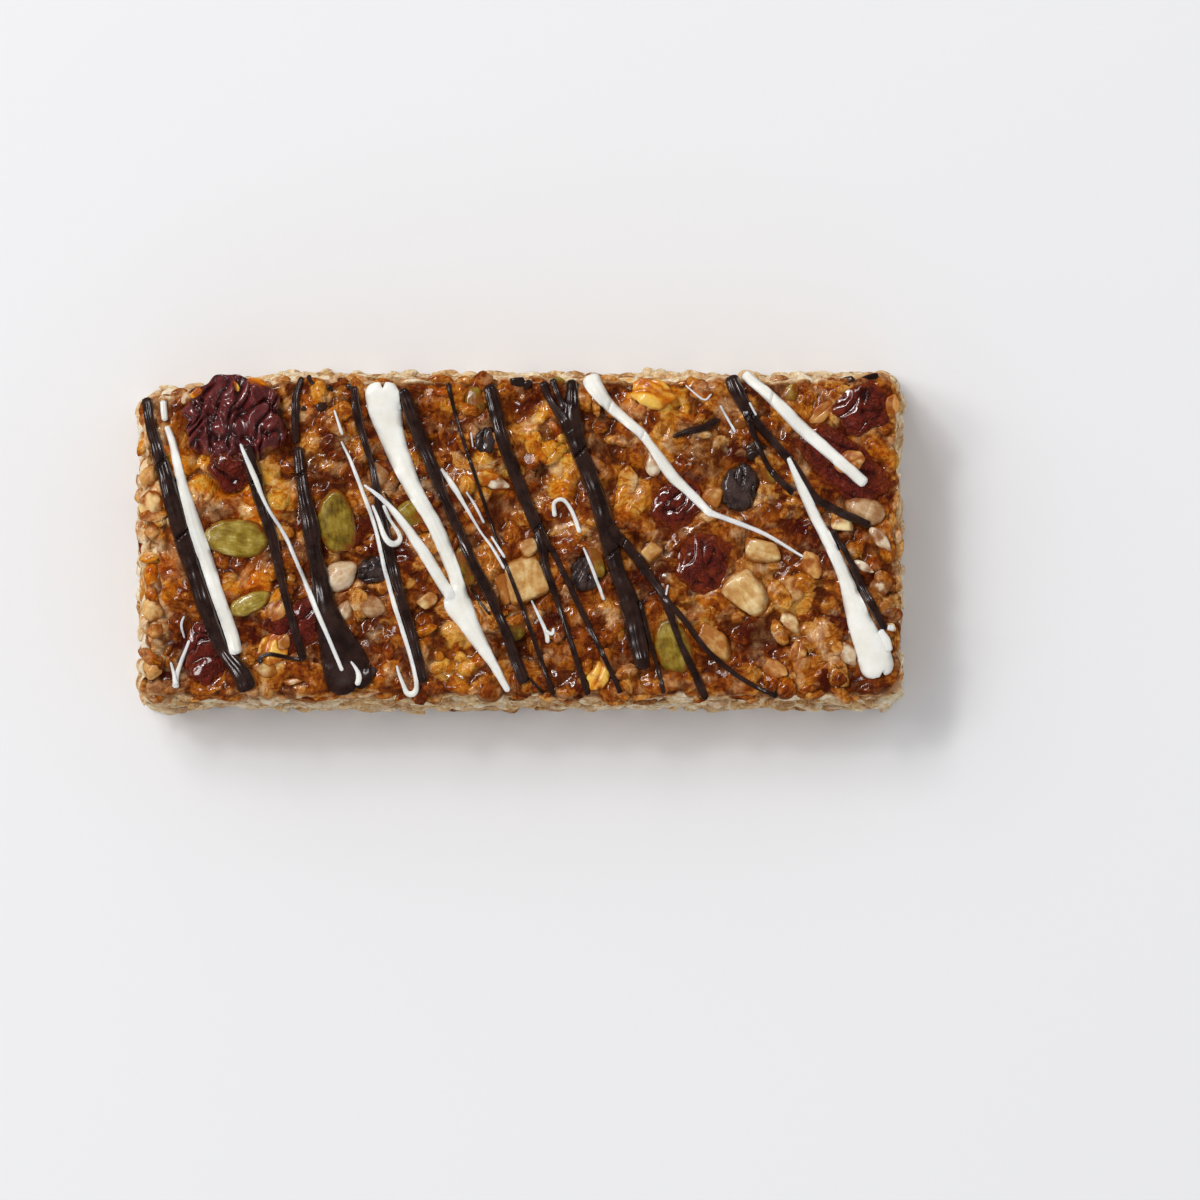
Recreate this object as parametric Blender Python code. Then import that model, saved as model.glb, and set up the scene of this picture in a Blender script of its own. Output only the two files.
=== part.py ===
"""A granola bar of oats, puffed grain, dried fruit, seeds and nuts, with two drizzles.

The bar is one pressed mass of grain under a sticky glaze. Its top is lumpy, its sides
flare a little towards the foot, and its foot is flat. Dried fruit, seeds and pieces of
nut are bedded in the top, each in a pocket of its own. Dark and white drizzle lies over
them in slanting strands, with domed tops and flat undersides.

X runs along the bar, Y across it and Z up. The origin is the middle of the foot.
"""

import math

import bmesh
import bpy
import numpy as np
from mathutils import Matrix, Vector, noise
from mathutils.bvhtree import BVHTree

MM = 0.001                  # the sizes below are in millimetres, the model in metres

# Driving dimensions of the pressed mass
BAR_LENGTH = 110.4          # widest, near the foot
BAR_DEPTH = 48.4
MASS_HEIGHT = 18.0          # mean height of the lumpy top
TOP_LEFT, TOP_RIGHT = -54.3, 54.0       # where the top ends, before the edge rounds off
TOP_FRONT, TOP_BACK = -22.3, 23.0
CORNER_RADIUS = 3.6
EDGE_CELL = 1.3             # width of the outer row of the top
EDGE_DROP = 1.1             # how far the rim lies below the top
FOOT_ROUND = 0.7            # how far the foot draws in under the sides
WORN_DEPTH = 2.4            # the back left corner has crumbled away by this much
WORN_LENGTH = 24.0
TOP_CELLS = (30, 13)
SIDE_ROWS = 6
LUMP_SIZE, LUMP_HEIGHT = 9.0, 1.25
GRAIN_SIZE, GRAIN_HEIGHT = 5.0, 0.75

GAP = 0.35                  # clearance that touching pieces keep
SEED = 7.3                  # moves the pattern of the lumps

# Drizzle strands
STATION = 3.1               # spacing of the sections along a strand
DOME_POINTS = 4             # points on the domed side of a section
DOME_RATIO = 0.40           # thickness of a strand over its width
THINNEST, THICKEST = 0.55, 1.25
MOST_TILT = 0.4             # rise over run across a strand that leans on a slope

COLOURS = {
    "granola": ((0.50, 0.22, 0.055), 0.35),
    "cherry": ((0.060, 0.010, 0.012), 0.25),
    "fruit": ((0.110, 0.014, 0.010), 0.25),
    "raisin": ((0.022, 0.012, 0.012), 0.40),
    "pumpkin": ((0.33, 0.27, 0.045), 0.35),
    "nut": ((0.62, 0.40, 0.17), 0.45),
    "dark": ((0.028, 0.018, 0.017), 0.30),
    "white": ((0.82, 0.79, 0.74), 0.35),
}

# Toppings: name, middle (x, y), size (long, wide, thick), turn in degrees, stands proud
CHERRIES = (
    ("dried_cherry", (-40.9, 17.4), (14.0, 10.0, 6.4), -4, 2.6),
)
FRUIT = (
    ("fruit_below_cherry", (-42.1, 9.3), (5.0, 4.4, 3.0), -50, 0.9),
    ("fruit_front_left", (-45.4, -16.2), (8.4, 5.0, 3.2), 78, 0.8),
    ("fruit_left", (-31.6, -11.9), (8.6, 6.0, 3.0), 30, 0.7),
    ("fruit_middle", (22.9, 5.4), (6.4, 5.2, 3.2), 40, 1.1),
    ("fruit_flat", (26.3, -3.3), (7.6, 5.8, 2.4), 70, 0.6),
    ("fruit_right", (46.4, 10.9), (12.0, 5.6, 3.0), -38, 0.7),
    ("fruit_corner", (49.2, 19.2), (6.4, 5.0, 3.0), 25, 0.9),
)
RAISINS = (
    ("raisin_left", (-21.2, -4.2), (3.8, 3.4, 2.8), 20, 1.0),
    ("raisin_middle", (9.4, -4.6), (5.0, 3.9, 3.0), 75, 1.0),
    ("raisin_right", (31.7, 7.6), (6.6, 5.0, 3.6), 80, 1.3),
)
PUMPKIN_SEEDS = (
    ("pumpkin_seed_1", (-41.0, 0.4), (8.9, 5.3, 2.2), 176, 1.0),
    ("pumpkin_seed_2", (-26.4, 2.9), (8.4, 4.8, 2.2), 98, 1.1),
    ("pumpkin_seed_3", (-38.9, -8.8), (5.8, 2.6, 2.4), 24, 0.9),
    ("pumpkin_seed_4", (21.6, -15.2), (7.5, 4.6, 2.2), 106, 1.1),
)
KERNELS = (
    ("sunflower_kernel", (-25.7, -4.6), (5.4, 4.4, 2.4), 35, 1.1),
    ("almond_slice", (28.3, -14.9), (6.4, 3.2, 2.0), -46, 0.7),
    ("bean_shaped_nut", (49.7, 4.2), (5.6, 3.8, 3.0), -24, 1.2),
)
NUT_CHIPS = (
    ("nut_chip_middle", (1.0, -5.3), (6.6, 5.6, 3.0), 100, 0.9),
    ("nut_chip_large", (32.9, -7.6), (7.2, 5.4, 3.2), -46, 1.1),
    ("nut_chip_small", (35.0, -1.7), (5.0, 3.2, 2.6), -12, 0.7),
)

# Drizzle routes: (x, y, width) from the back edge to the front
DARK_STRANDS = (
    ("dark_strand_1", (
        ((-53.6, 20.2, 1.5), (-53.0, 16.4, 1.5), (-51.8, 11.7, 2.3), (-50.1, 5.9, 2.6),
         (-48.4, 0.1, 2.8), (-46.7, -5.6, 2.5), (-42.9, -15.4, 2.2), (-40.3, -18.9, 3.0),
         (-39.3, -20.9, 2.8)),
    )),
    ("dark_strand_2", (
        ((-38.8, 11.4, 2.1), (-37.2, 5.2, 2.0), (-35.6, 0.1, 1.7), (-33.7, -8.5, 1.2),
         (-31.3, -17.1, 1.2)),
    )),
    ("dark_strand_3", (
        ((-32.0, 13.1, 1.5), (-31.4, 8.1, 1.9), (-30.4, 3.0, 2.5), (-29.1, -4.2, 2.3),
         (-27.8, -9.9, 3.2), (-26.5, -14.3, 4.3), (-25.0, -18.5, 6.2), (-24.4, -20.6, 6.0)),
    )),
    ("dark_strand_4", (
        ((-24.0, 22.2, 1.2), (-23.3, 17.4, 1.3), (-21.6, 11.7, 1.0), (-20.4, 5.9, 1.3),
         (-18.6, -2.7, 1.6), (-15.4, -14.3, 1.6), (-14.0, -20.3, 1.7)),
    )),
    ("dark_strand_5", (
        ((-16.9, 22.0, 1.4), (-15.8, 18.9, 2.1), (-12.1, 9.2, 1.9), (-9.2, 2.3, 1.5),
         (-4.5, -7.5, 1.8), (-3.0, -10.9, 1.4), (0.6, -20.6, 1.8)),
    )),
    ("dark_strand_6", (
        ((-4.5, 22.6, 1.9), (-3.3, 18.1, 2.2), (0.3, 7.1, 1.9), (3.0, 0.4, 1.8),
         (4.9, -7.3, 1.0), (8.2, -17.4, 0.9), (9.6, -21.6, 0.9)),
        ((3.1, 0.6, 1.2), (5.3, -2.7, 0.9), (9.8, -12.1, 0.9), (14.3, -21.4, 0.8)),
    )),
    ("dark_strand_7", (
        ((7.7, 23.0, 1.7), (7.3, 19.4, 3.0), (7.4, 16.2, 3.4), (8.5, 13.1, 2.7),
         (10.1, 9.1, 2.6), (13.0, -0.6, 2.6), (15.3, -7.8, 2.8), (17.1, -15.3, 2.7),
         (17.9, -18.6, 2.0)),
        ((3.3, 22.8, 1.3), (4.5, 19.9, 1.3), (7.4, 16.0, 1.6)),
        ((12.8, 1.4, 1.3), (16.1, -1.6, 1.5), (20.9, -8.5, 1.3), (22.9, -14.3, 1.1),
         (26.3, -21.7, 1.3)),
        ((20.4, -7.9, 1.1), (23.9, -11.7, 0.9), (30.2, -18.6, 0.8), (36.2, -21.8, 0.9)),
    )),
    ("dark_strand_8", (
        ((30.8, 22.8, 2.2), (32.1, 19.9, 2.0), (34.3, 16.8, 1.4), (39.9, 10.2, 1.3),
         (42.2, 6.6, 1.2), (45.5, 4.5, 1.2), (50.0, 2.4, 1.2)),
        ((32.4, 19.2, 1.2), (34.0, 14.5, 0.9), (36.1, 10.2, 0.9), (39.3, 7.0, 1.2)),
    )),
)
WHITE_STRANDS = (
    ("white_strand_1", (
        ((-50.9, 16.4, 0.8), (-50.2, 14.4, 1.1), (-48.8, 8.8, 1.4), (-47.1, 3.0, 1.8),
         (-43.3, -8.5, 1.9), (-40.7, -16.4, 1.8)),
    )),
    ("white_strand_2", (
        ((-20.9, 22.0, 3.6), (-20.2, 19.6, 4.6), (-18.1, 14.3, 3.5), (-14.7, 6.3, 2.3),
         (-10.5, -2.0, 2.1), (-9.0, -6.4, 2.2), (-8.9, -9.1, 3.7), (-5.8, -14.7, 2.1),
         (-1.8, -21.4, 0.9)),
        ((-18.7, 22.0, 2.2), (-18.5, 19.6, 2.6), (-18.0, 16.2, 2.2)),
        ((-18.2, 4.3, 0.9), (-16.6, 2.2, 1.3), (-13.7, -2.0, 1.7), (-10.4, -7.4, 1.7)),
    )),
    ("white_strand_3", (
        ((11.0, 22.7, 2.1), (11.6, 20.7, 1.9), (13.2, 19.2, 1.7), (20.4, 11.5, 1.5),
         (21.9, 9.4, 1.6), (27.3, 4.1, 1.2), (31.1, 2.7, 0.8), (37.8, -0.4, 0.7)),
    )),
    ("white_strand_4", (
        ((33.9, 22.9, 1.6), (36.3, 20.6, 1.6), (40.8, 16.1, 1.8), (49.8, 8.2, 1.7)),
    )),
    ("white_strand_5", (
        ((38.8, 11.4, 0.8), (40.2, 8.4, 1.2), (42.3, 4.0, 1.5), (46.5, -4.6, 1.8),
         (49.2, -12.0, 3.0), (50.6, -16.0, 3.9), (51.1, -19.0, 3.2)),
        ((51.8, -12.8, 1.4), (52.6, -15.6, 2.0), (52.9, -17.2, 1.8)),
    )),
)


def smoothstep(t):
    """0 below 0, 1 above 1, and an even rise between."""
    t = min(max(t, 0.0), 1.0)
    return t * t * (3.0 - 2.0 * t)


def material(name):
    """One plain surface for each kind of ingredient."""
    found = bpy.data.materials.get(name)
    if found:
        return found
    colour, roughness = COLOURS[name]
    made = bpy.data.materials.new(name)
    made.use_nodes = True
    shader = made.node_tree.nodes["Principled BSDF"]
    shader.inputs["Base Color"].default_value = (*colour, 1.0)
    shader.inputs["Roughness"].default_value = roughness
    shader.inputs["Metallic"].default_value = 0.0
    return made


def face_outwards(bm):
    """Turn every face of a closed body outwards."""
    bmesh.ops.recalc_face_normals(bm, faces=bm.faces)
    if bm.calc_volume(signed=True) < 0.0:
        bmesh.ops.reverse_faces(bm, faces=bm.faces)
    bm.normal_update()


def finish(bm, name, kind):
    """Turn a mesh drawn in millimetres into a named object in metres."""
    mesh = bpy.data.meshes.new(name)
    face_outwards(bm)
    bm.to_mesh(mesh)
    mesh.transform(Matrix.Scale(MM, 4))
    mesh.materials.append(material(kind))
    mesh.shade_smooth()
    piece = bpy.data.objects.new(name, mesh)
    bpy.context.scene.collection.objects.link(piece)
    return piece


def as_cutter(piece):
    """A cutter is seen only as wires and is no part of the bar."""
    piece.hide_render = True
    piece.display_type = "WIRE"
    return piece


# The pressed mass -----------------------------------------------------------------


def lumps(x, y, z):
    """Height of the lumpy grain: broad swells with a finer grain on them."""
    broad = noise.noise(Vector((x, y, z)) / LUMP_SIZE + Vector((SEED, 0.0, 0.0)))
    fine = noise.noise(Vector((x, y, z)) / GRAIN_SIZE + Vector((0.0, SEED, 0.0)))
    return LUMP_HEIGHT * broad + GRAIN_HEIGHT * fine


def grid_place(index, cells, low, high):
    """Place of a grid line: the outer cell is narrow, the rest are even."""
    if index == 0:
        return low
    if index == cells:
        return high
    inner = (index - 1) / (cells - 2)
    return low + EDGE_CELL + inner * (high - low - 2.0 * EDGE_CELL)


def round_corner(x, y, front, back):
    """Pull a square corner in to an arc, with what lies inside it in proportion."""
    middle = (TOP_LEFT + TOP_RIGHT) / 2.0, (front + back) / 2.0
    half = (TOP_RIGHT - TOP_LEFT) / 2.0, (back - front) / 2.0
    along, across = x - middle[0], y - middle[1]
    over_x = abs(along) - (half[0] - CORNER_RADIUS)
    over_y = abs(across) - (half[1] - CORNER_RADIUS)
    if over_x <= 0.0 or over_y <= 0.0:
        return x, y
    shrink = max(over_x, over_y) / math.hypot(over_x, over_y)
    new_x = math.copysign(half[0] - CORNER_RADIUS + over_x * shrink, along)
    new_y = math.copysign(half[1] - CORNER_RADIUS + over_y * shrink, across)
    return middle[0] + new_x, middle[1] + new_y


def top_place(column, row):
    """Where a point of the top's grid lies, seen from above."""
    x = grid_place(column, TOP_CELLS[0], TOP_LEFT, TOP_RIGHT)
    worn = WORN_DEPTH * smoothstep((TOP_LEFT + WORN_LENGTH - x) / WORN_LENGTH)
    back = TOP_BACK - worn
    y = grid_place(row, TOP_CELLS[1], TOP_FRONT, back)
    return round_corner(x, y, TOP_FRONT, back)


def side_place(top, level):
    """A point of the side below a point of the rim, at 0 for the rim and 1 for the foot."""
    flare = 1.0 - (1.0 - level) ** 1.7
    half = BAR_LENGTH / 2.0, BAR_DEPTH / 2.0
    middle = (TOP_LEFT + TOP_RIGHT) / 2.0, (TOP_FRONT + TOP_BACK) / 2.0
    reach = (TOP_RIGHT - TOP_LEFT) / 2.0, (TOP_BACK - TOP_FRONT) / 2.0
    place = []
    for axis in (0, 1):
        foot = (top[axis] - middle[axis]) / reach[axis] * half[axis]
        place.append(top[axis] + (foot - top[axis]) * flare)
    z = (MASS_HEIGHT - EDGE_DROP) * (1.0 - level)
    outward = Vector((place[0] / half[0] ** 2, place[1] / half[1] ** 2)).normalized()
    swell = lumps(place[0], place[1], z) if level < 1.0 else -FOOT_ROUND
    return Vector((place[0] + outward.x * swell, place[1] + outward.y * swell, z))


def fit_to_size(bm):
    """Bring the mass to its exact length and depth, with its middle over the origin."""
    points = np.array([vertex.co[:2] for vertex in bm.verts])
    low, high = points.min(axis=0), points.max(axis=0)
    scale = np.array([BAR_LENGTH, BAR_DEPTH]) / (high - low)
    middle = (low + high) / 2.0
    for vertex in bm.verts:
        vertex.co.x = (vertex.co.x - middle[0]) * scale[0]
        vertex.co.y = (vertex.co.y - middle[1]) * scale[1]


def build_mass():
    """A grid for the top, its rim drawn down in rows for the sides, and a flat foot."""
    bm = bmesh.new()
    bmesh.ops.create_grid(bm, x_segments=TOP_CELLS[0], y_segments=TOP_CELLS[1], size=1.0)
    rim_of = bm.verts.layers.float_vector.new("rim")
    for vertex in bm.verts:
        column = round((vertex.co.x + 1.0) / 2.0 * TOP_CELLS[0])
        row = round((vertex.co.y + 1.0) / 2.0 * TOP_CELLS[1])
        x, y = top_place(column, row)
        on_rim = vertex.is_boundary
        z = MASS_HEIGHT + lumps(x, y, MASS_HEIGHT) * (0.4 if on_rim else 1.0)
        vertex.co = (x, y, z - EDGE_DROP if on_rim else z)
        vertex[rim_of] = vertex.co
    edges = [edge for edge in bm.edges if edge.is_boundary]
    for row in range(1, SIDE_ROWS + 1):
        drawn = bmesh.ops.extrude_edge_only(bm, edges=edges)["geom"]
        edges = [item for item in drawn if isinstance(item, bmesh.types.BMEdge)]
        for vertex in {end for edge in edges for end in edge.verts}:
            vertex.co = side_place(vertex[rim_of], row / SIDE_ROWS)
    bmesh.ops.contextual_create(bm, geom=edges)
    fit_to_size(bm)
    face_outwards(bm)
    return bm


# Toppings --------------------------------------------------------------------------


def wrinkled(place, size, depth, folds):
    """A blob with folds: ridged noise pulls its skin in along winding creases."""
    unit = place.normalized()
    crease = 1.0 - abs(noise.noise(unit * folds + Vector((size[0], size[1], SEED))))
    return unit * (1.0 - depth * crease ** 3)


def seed_shape(place):
    """A flat drop: one end narrows, and a low rim runs round it."""
    x, y, z = place.normalized()
    narrow = 1.0 - 0.38 * smoothstep((x + 0.1) / 1.1)
    return Vector((x, y * narrow, z * (0.75 + 0.25 * (x * x + y * y))))


def kernel_shape(place):
    """A plump drop, pointed at one end."""
    x, y, z = place.normalized()
    narrow = 1.0 - 0.55 * smoothstep((x + 0.2) / 1.2)
    return Vector((x, y * narrow, z * (0.6 + 0.4 * narrow)))


def chip_body(bm, size):
    """A broken piece of nut: a flat block with uneven corners and blunt edges."""
    bmesh.ops.create_cone(bm, cap_ends=True, segments=6, radius1=1.0, radius2=0.84, depth=2.0)
    for vertex in bm.verts:
        push = noise.noise(vertex.co * 1.3 + Vector((size[0], SEED, size[1])))
        vertex.co.xy *= 0.98 + 0.30 * push
    bmesh.ops.bevel(bm, geom=bm.edges[:], offset=0.16, segments=1, affect="EDGES")
    bmesh.ops.triangulate(bm, faces=bm.faces)


def blob_body(bm, form, detail):
    """A ball of triangles pressed into the form."""
    bmesh.ops.create_icosphere(bm, subdivisions=detail, radius=1.0)
    for vertex in bm.verts:
        vertex.co = form(vertex.co)


def to_size(bm, size):
    """Scale a body so that its box is exactly the size."""
    points = np.array([vertex.co[:] for vertex in bm.verts])
    low, high = points.min(axis=0), points.max(axis=0)
    for vertex in bm.verts:
        for axis in range(3):
            middle = (low[axis] + high[axis]) / 2.0
            vertex.co[axis] = (vertex.co[axis] - middle) * size[axis] / (high[axis] - low[axis])


def grown(bm):
    """A copy of a body, larger by the clearance all round, for cutting its pocket."""
    copy = bm.copy()
    moved = [vertex.co + vertex.normal * GAP for vertex in copy.verts]
    for vertex, place in zip(copy.verts, moved):
        vertex.co = place
    return copy


def bed(mass_object, ground, row, kind, body):
    """Make one topping, stand it in the top, and cut its pocket in the mass."""
    name, (x, y), size, turn, proud = row
    bm = bmesh.new()
    body(bm, size)
    to_size(bm, size)
    height = ground.at(x, y) + proud - size[2] / 2.0
    spin = Matrix.Rotation(math.radians(turn), 4, "Z")
    bm.transform(Matrix.Translation((x, y, height)) @ spin)
    face_outwards(bm)
    cutter = as_cutter(finish(grown(bm), "pocket_" + name, "granola"))
    pocket = mass_object.modifiers.new("pocket " + name, "BOOLEAN")
    pocket.operation = "DIFFERENCE"
    pocket.object = cutter
    finish(bm, name, kind)
    ground.add(bm)


# Drizzle ----------------------------------------------------------------------------


class Ground:
    """What lies below a strand: the highest of the bodies laid so far."""

    def __init__(self):
        self.trees = []

    def add(self, bm):
        self.trees.append(BVHTree.FromBMesh(bm))

    def at(self, x, y):
        best = 0.0
        for tree in self.trees:
            hit = tree.ray_cast(Vector((x, y, 2.0 * MASS_HEIGHT)), Vector((0.0, 0.0, -1.0)))
            if hit[0] is not None:
                best = max(best, hit[0].z)
        return best

    def resting_line(self, middle, along, across, half):
        """Height at the middle and slope of a strand's underside, laid over a patch."""
        shifts = np.linspace(-half, half, 5)
        highest = np.zeros(len(shifts))
        for step in np.linspace(-STATION, STATION, 7):
            for index, shift in enumerate(shifts):
                place = middle + along * step + across * shift
                highest[index] = max(highest[index], self.at(place[0], place[1]))
        slope = (highest[-1] - highest[0]) / (2.0 * half)
        slope = min(max(slope, -MOST_TILT), MOST_TILT)
        return (highest - slope * shifts).max(), slope


def smooth_route(points):
    """A Catmull-Rom curve through the points, as many short steps."""
    points = np.array(points)
    first = 2.0 * points[0] - points[1]
    last = 2.0 * points[-1] - points[-2]
    around = np.vstack([first, points, last])
    t = np.linspace(0.0, 1.0, 16, endpoint=False)[:, None]
    spans = []
    for a, b, c, d in zip(around[:-3], around[1:-2], around[2:-1], around[3:]):
        bend = (c - a) * t + (2.0 * a - 5.0 * b + 4.0 * c - d) * t ** 2
        spans.append(b + 0.5 * (bend + (3.0 * b - a - 3.0 * c + d) * t ** 3))
    return np.vstack(spans + [points[-1:]])


def stations(length, first_width, last_width):
    """Distances of the sections: close together at the round ends, even between."""
    head = [0.0, 0.18 * first_width, 0.55 * first_width]
    tail = [length - 0.55 * last_width, length - 0.18 * last_width, length]
    count = max(1, round((tail[0] - head[-1]) / STATION))
    return head[:-1] + list(np.linspace(head[-1], tail[0], count + 1)) + tail[1:]


def section(count):
    """A flat underside and a dome: (across, up) pairs from one edge over to the other."""
    turns = [math.pi * step / (count + 1) for step in range(count + 2)]
    return [(math.cos(turn), math.sin(turn)) for turn in turns]


def strand_body(ground, points):
    """One strand: domed sections carried along its route over the ground."""
    curve = smooth_route(points)
    walked = np.append(0.0, np.cumsum(np.hypot(*np.diff(curve[:, :2], axis=0).T)))
    places = stations(walked[-1], curve[0, 2], curve[-1, 2])
    bm = bmesh.new()
    rings = []
    for place in places:
        middle = np.array([np.interp(place, walked, curve[:, axis]) for axis in (0, 1)])
        ahead = np.array([np.interp(place + 0.2, walked, curve[:, axis]) for axis in (0, 1)])
        behind = np.array([np.interp(place - 0.2, walked, curve[:, axis]) for axis in (0, 1)])
        along = (ahead - behind) / np.linalg.norm(ahead - behind)
        across = np.array([-along[1], along[0]])
        width = np.interp(place, walked, curve[:, 2])
        to_end = min(place, walked[-1] - place) / (0.55 * width)
        fullness = math.sqrt(1.0 - (1.0 - min(to_end, 1.0)) ** 2 * 0.88)
        half = width / 2.0 * fullness
        thick = min(max(DOME_RATIO * width, THINNEST), THICKEST) * (0.35 + 0.65 * fullness)
        floor, slope = ground.resting_line(middle, along, across, width / 2.0)
        ring = []
        for out, up in section(DOME_POINTS):
            x, y = middle + across * out * half
            z = floor + GAP + slope * out * half + up * thick
            ring.append(bm.verts.new((x, y, z)))
        rings.append(ring)
    for one, two in zip(rings[:-1], rings[1:]):
        for index, vertex in enumerate(one):
            after = (index + 1) % len(one)
            bm.faces.new((vertex, one[after], two[after], two[index]))
    bm.faces.new(rings[0])
    bm.faces.new(rings[-1])
    face_outwards(bm)
    return bm


def lay_strand(ground, name, routes, kind):
    """Lay a strand and join its branches to it."""
    bodies = [strand_body(ground, route) for route in routes]
    main = finish(bodies[0], name, kind)
    for number, body in enumerate(bodies[1:], start=1):
        branch = as_cutter(finish(body, f"{name}_branch_{number}", kind))
        join = main.modifiers.new(f"branch {number}", "BOOLEAN")
        join.operation = "UNION"
        join.object = branch
    for body in bodies:
        ground.add(body)


# The bar -----------------------------------------------------------------------------


def main():
    """Press the mass, bed the toppings in it, and lay the drizzle over both."""
    for old in list(bpy.data.objects):
        bpy.data.objects.remove(old, do_unlink=True)

    ground = Ground()
    mass = build_mass()
    ground.add(mass)
    mass_object = finish(mass, "granola_mass", "granola")

    kinds = (
        (CHERRIES, "cherry",
         lambda bm, size: blob_body(bm, lambda at: wrinkled(at, size, 0.16, 1.9), 3)),
        (FRUIT, "fruit",
         lambda bm, size: blob_body(bm, lambda at: wrinkled(at, size, 0.12, 1.2), 2)),
        (RAISINS, "raisin",
         lambda bm, size: blob_body(bm, lambda at: wrinkled(at, size, 0.14, 1.5), 2)),
        (PUMPKIN_SEEDS, "pumpkin", lambda bm, size: blob_body(bm, seed_shape, 2)),
        (KERNELS, "nut", lambda bm, size: blob_body(bm, kernel_shape, 2)),
        (NUT_CHIPS, "nut", chip_body),
    )
    for rows, kind, body in kinds:
        for row in rows:
            bed(mass_object, ground, row, kind, body)

    for name, routes in DARK_STRANDS:
        lay_strand(ground, name, routes, "dark")
    for name, routes in WHITE_STRANDS:
        lay_strand(ground, name, routes, "white")


main()
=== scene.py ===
# %% [markdown]
# # A granola bar with dark and white drizzle
#
# The bar is a pressed block of oats, puffed grain, fruit, seeds and nuts under a sticky
# glaze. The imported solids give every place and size. This script puts a fine surface,
# the small grains and the finishes around them. All shapes are worked out in millimetres
# with numpy, and turned to metres when they become meshes.

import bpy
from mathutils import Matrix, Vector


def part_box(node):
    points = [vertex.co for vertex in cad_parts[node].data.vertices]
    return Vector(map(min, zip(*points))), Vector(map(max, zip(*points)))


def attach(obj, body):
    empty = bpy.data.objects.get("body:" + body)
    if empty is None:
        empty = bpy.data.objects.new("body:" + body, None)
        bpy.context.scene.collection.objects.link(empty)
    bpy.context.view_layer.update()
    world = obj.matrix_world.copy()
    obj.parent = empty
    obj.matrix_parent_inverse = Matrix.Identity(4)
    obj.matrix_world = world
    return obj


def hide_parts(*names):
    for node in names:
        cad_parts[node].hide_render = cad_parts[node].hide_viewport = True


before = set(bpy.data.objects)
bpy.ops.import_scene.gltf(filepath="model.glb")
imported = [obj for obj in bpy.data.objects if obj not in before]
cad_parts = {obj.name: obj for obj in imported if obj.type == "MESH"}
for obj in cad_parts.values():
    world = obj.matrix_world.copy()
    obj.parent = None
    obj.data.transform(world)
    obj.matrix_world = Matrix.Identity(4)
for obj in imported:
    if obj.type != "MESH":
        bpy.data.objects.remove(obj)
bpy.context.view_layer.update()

# %% Modules and units
import itertools
import math

import bpy
import numpy as np
from mathutils import Vector, noise

MM = 0.001
chance = np.random.default_rng(41)      # the one source of everything uneven

# %% [markdown]
# ## The camera and the floor
#
# A camera far above the bar with a long lens shows its top with hardly any of its sides.
# It is made first, so that every later step can be looked at from the same place.

# %% Camera
CAMERA_HEIGHT = 1219.0
CAMERA_PLACE = (11.5, -8.5)
LENS, SENSOR = 250.0, 36.0

camera = bpy.data.objects.new("camera", bpy.data.cameras.new("camera"))
camera.data.lens = LENS
camera.data.sensor_width = SENSOR
camera.data.clip_start = 0.05
camera.data.clip_end = 20.0
camera.location = (CAMERA_PLACE[0] * MM, CAMERA_PLACE[1] * MM, CAMERA_HEIGHT * MM)
bpy.context.scene.collection.objects.link(camera)
bpy.context.scene.camera = camera
print("camera looks down from", CAMERA_HEIGHT, "mm")

# %% [markdown]
# ## Uneven numbers in space
#
# Nothing on food is even, so every surface below is stirred by noise. Blender has noise
# for one point at a time. Here the same idea is written for whole arrays, which is much
# faster on a hundred thousand points and keeps the shapes as plain formulas.

# %% Noise for whole arrays
CORNERS = np.array(list(itertools.product((0, 1), repeat=3)))


def ripple(points, size, seed):
    """Gradient noise, about -0.7 to 0.7. A random direction stands at each corner of a
    lattice of cubes. The value is the eased blend, over the eight corners round a point,
    of each direction's dot product with the way from its corner to the point."""
    dice = np.random.default_rng(seed)
    ways = dice.normal(size=(256, 3))
    ways /= np.linalg.norm(ways, axis=1)[:, None]
    deck = dice.permutation(256)
    scaled = np.asarray(points, float) / size + 91.7
    cell = np.floor(scaled).astype(int)
    inside = scaled - cell
    ease = inside ** 3 * (inside * (6.0 * inside - 15.0) + 10.0)
    total = np.zeros(inside.shape[:-1])
    for corner in CORNERS:
        pick = deck[(cell[..., 0] + corner[0]) & 255]
        pick = deck[(pick + cell[..., 1] + corner[1]) & 255]
        pick = deck[(pick + cell[..., 2] + corner[2]) & 255]
        weight = np.prod(np.where(corner, ease, 1.0 - ease), axis=-1)
        total += weight * ((inside - corner) * ways[pick]).sum(axis=-1)
    return total


def stir(points, size, reach, seed):
    """Each point is pushed by up to about the reach, along three noises of its place."""
    pushes = [ripple(points, size, seed + step) for step in range(3)]
    return points + reach * np.stack(pushes, axis=-1)


def creases(points, size, seed, sharp=3.0):
    """1 along the winding lines where the noise passes 0, falling off to each side."""
    return np.clip(1.0 - 2.0 * np.abs(ripple(points, size, seed)), 0.0, 1.0) ** sharp


def ease_between(value, low, high):
    """0 below low, 1 above high, and an even rise 3t^2 - 2t^3 between."""
    t = np.clip((value - low) / (high - low), 0.0, 1.0)
    return t * t * (3.0 - 2.0 * t)


probe = ripple(chance.uniform(-50.0, 50.0, (4000, 3)), 3.0, 1)
print("noise spreads from", round(probe.min(), 2), "to", round(probe.max(), 2))

# %% [markdown]
# ## From arrays to meshes
#
# A surface worked out on a grid becomes a mesh by joining each four neighbours with a
# face. The shells are all closed, and the sign of the volume that a shell encloses tells
# whether its faces point outwards, so an inside-out shell is simply turned round.

# %% Shells and pieces


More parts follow.
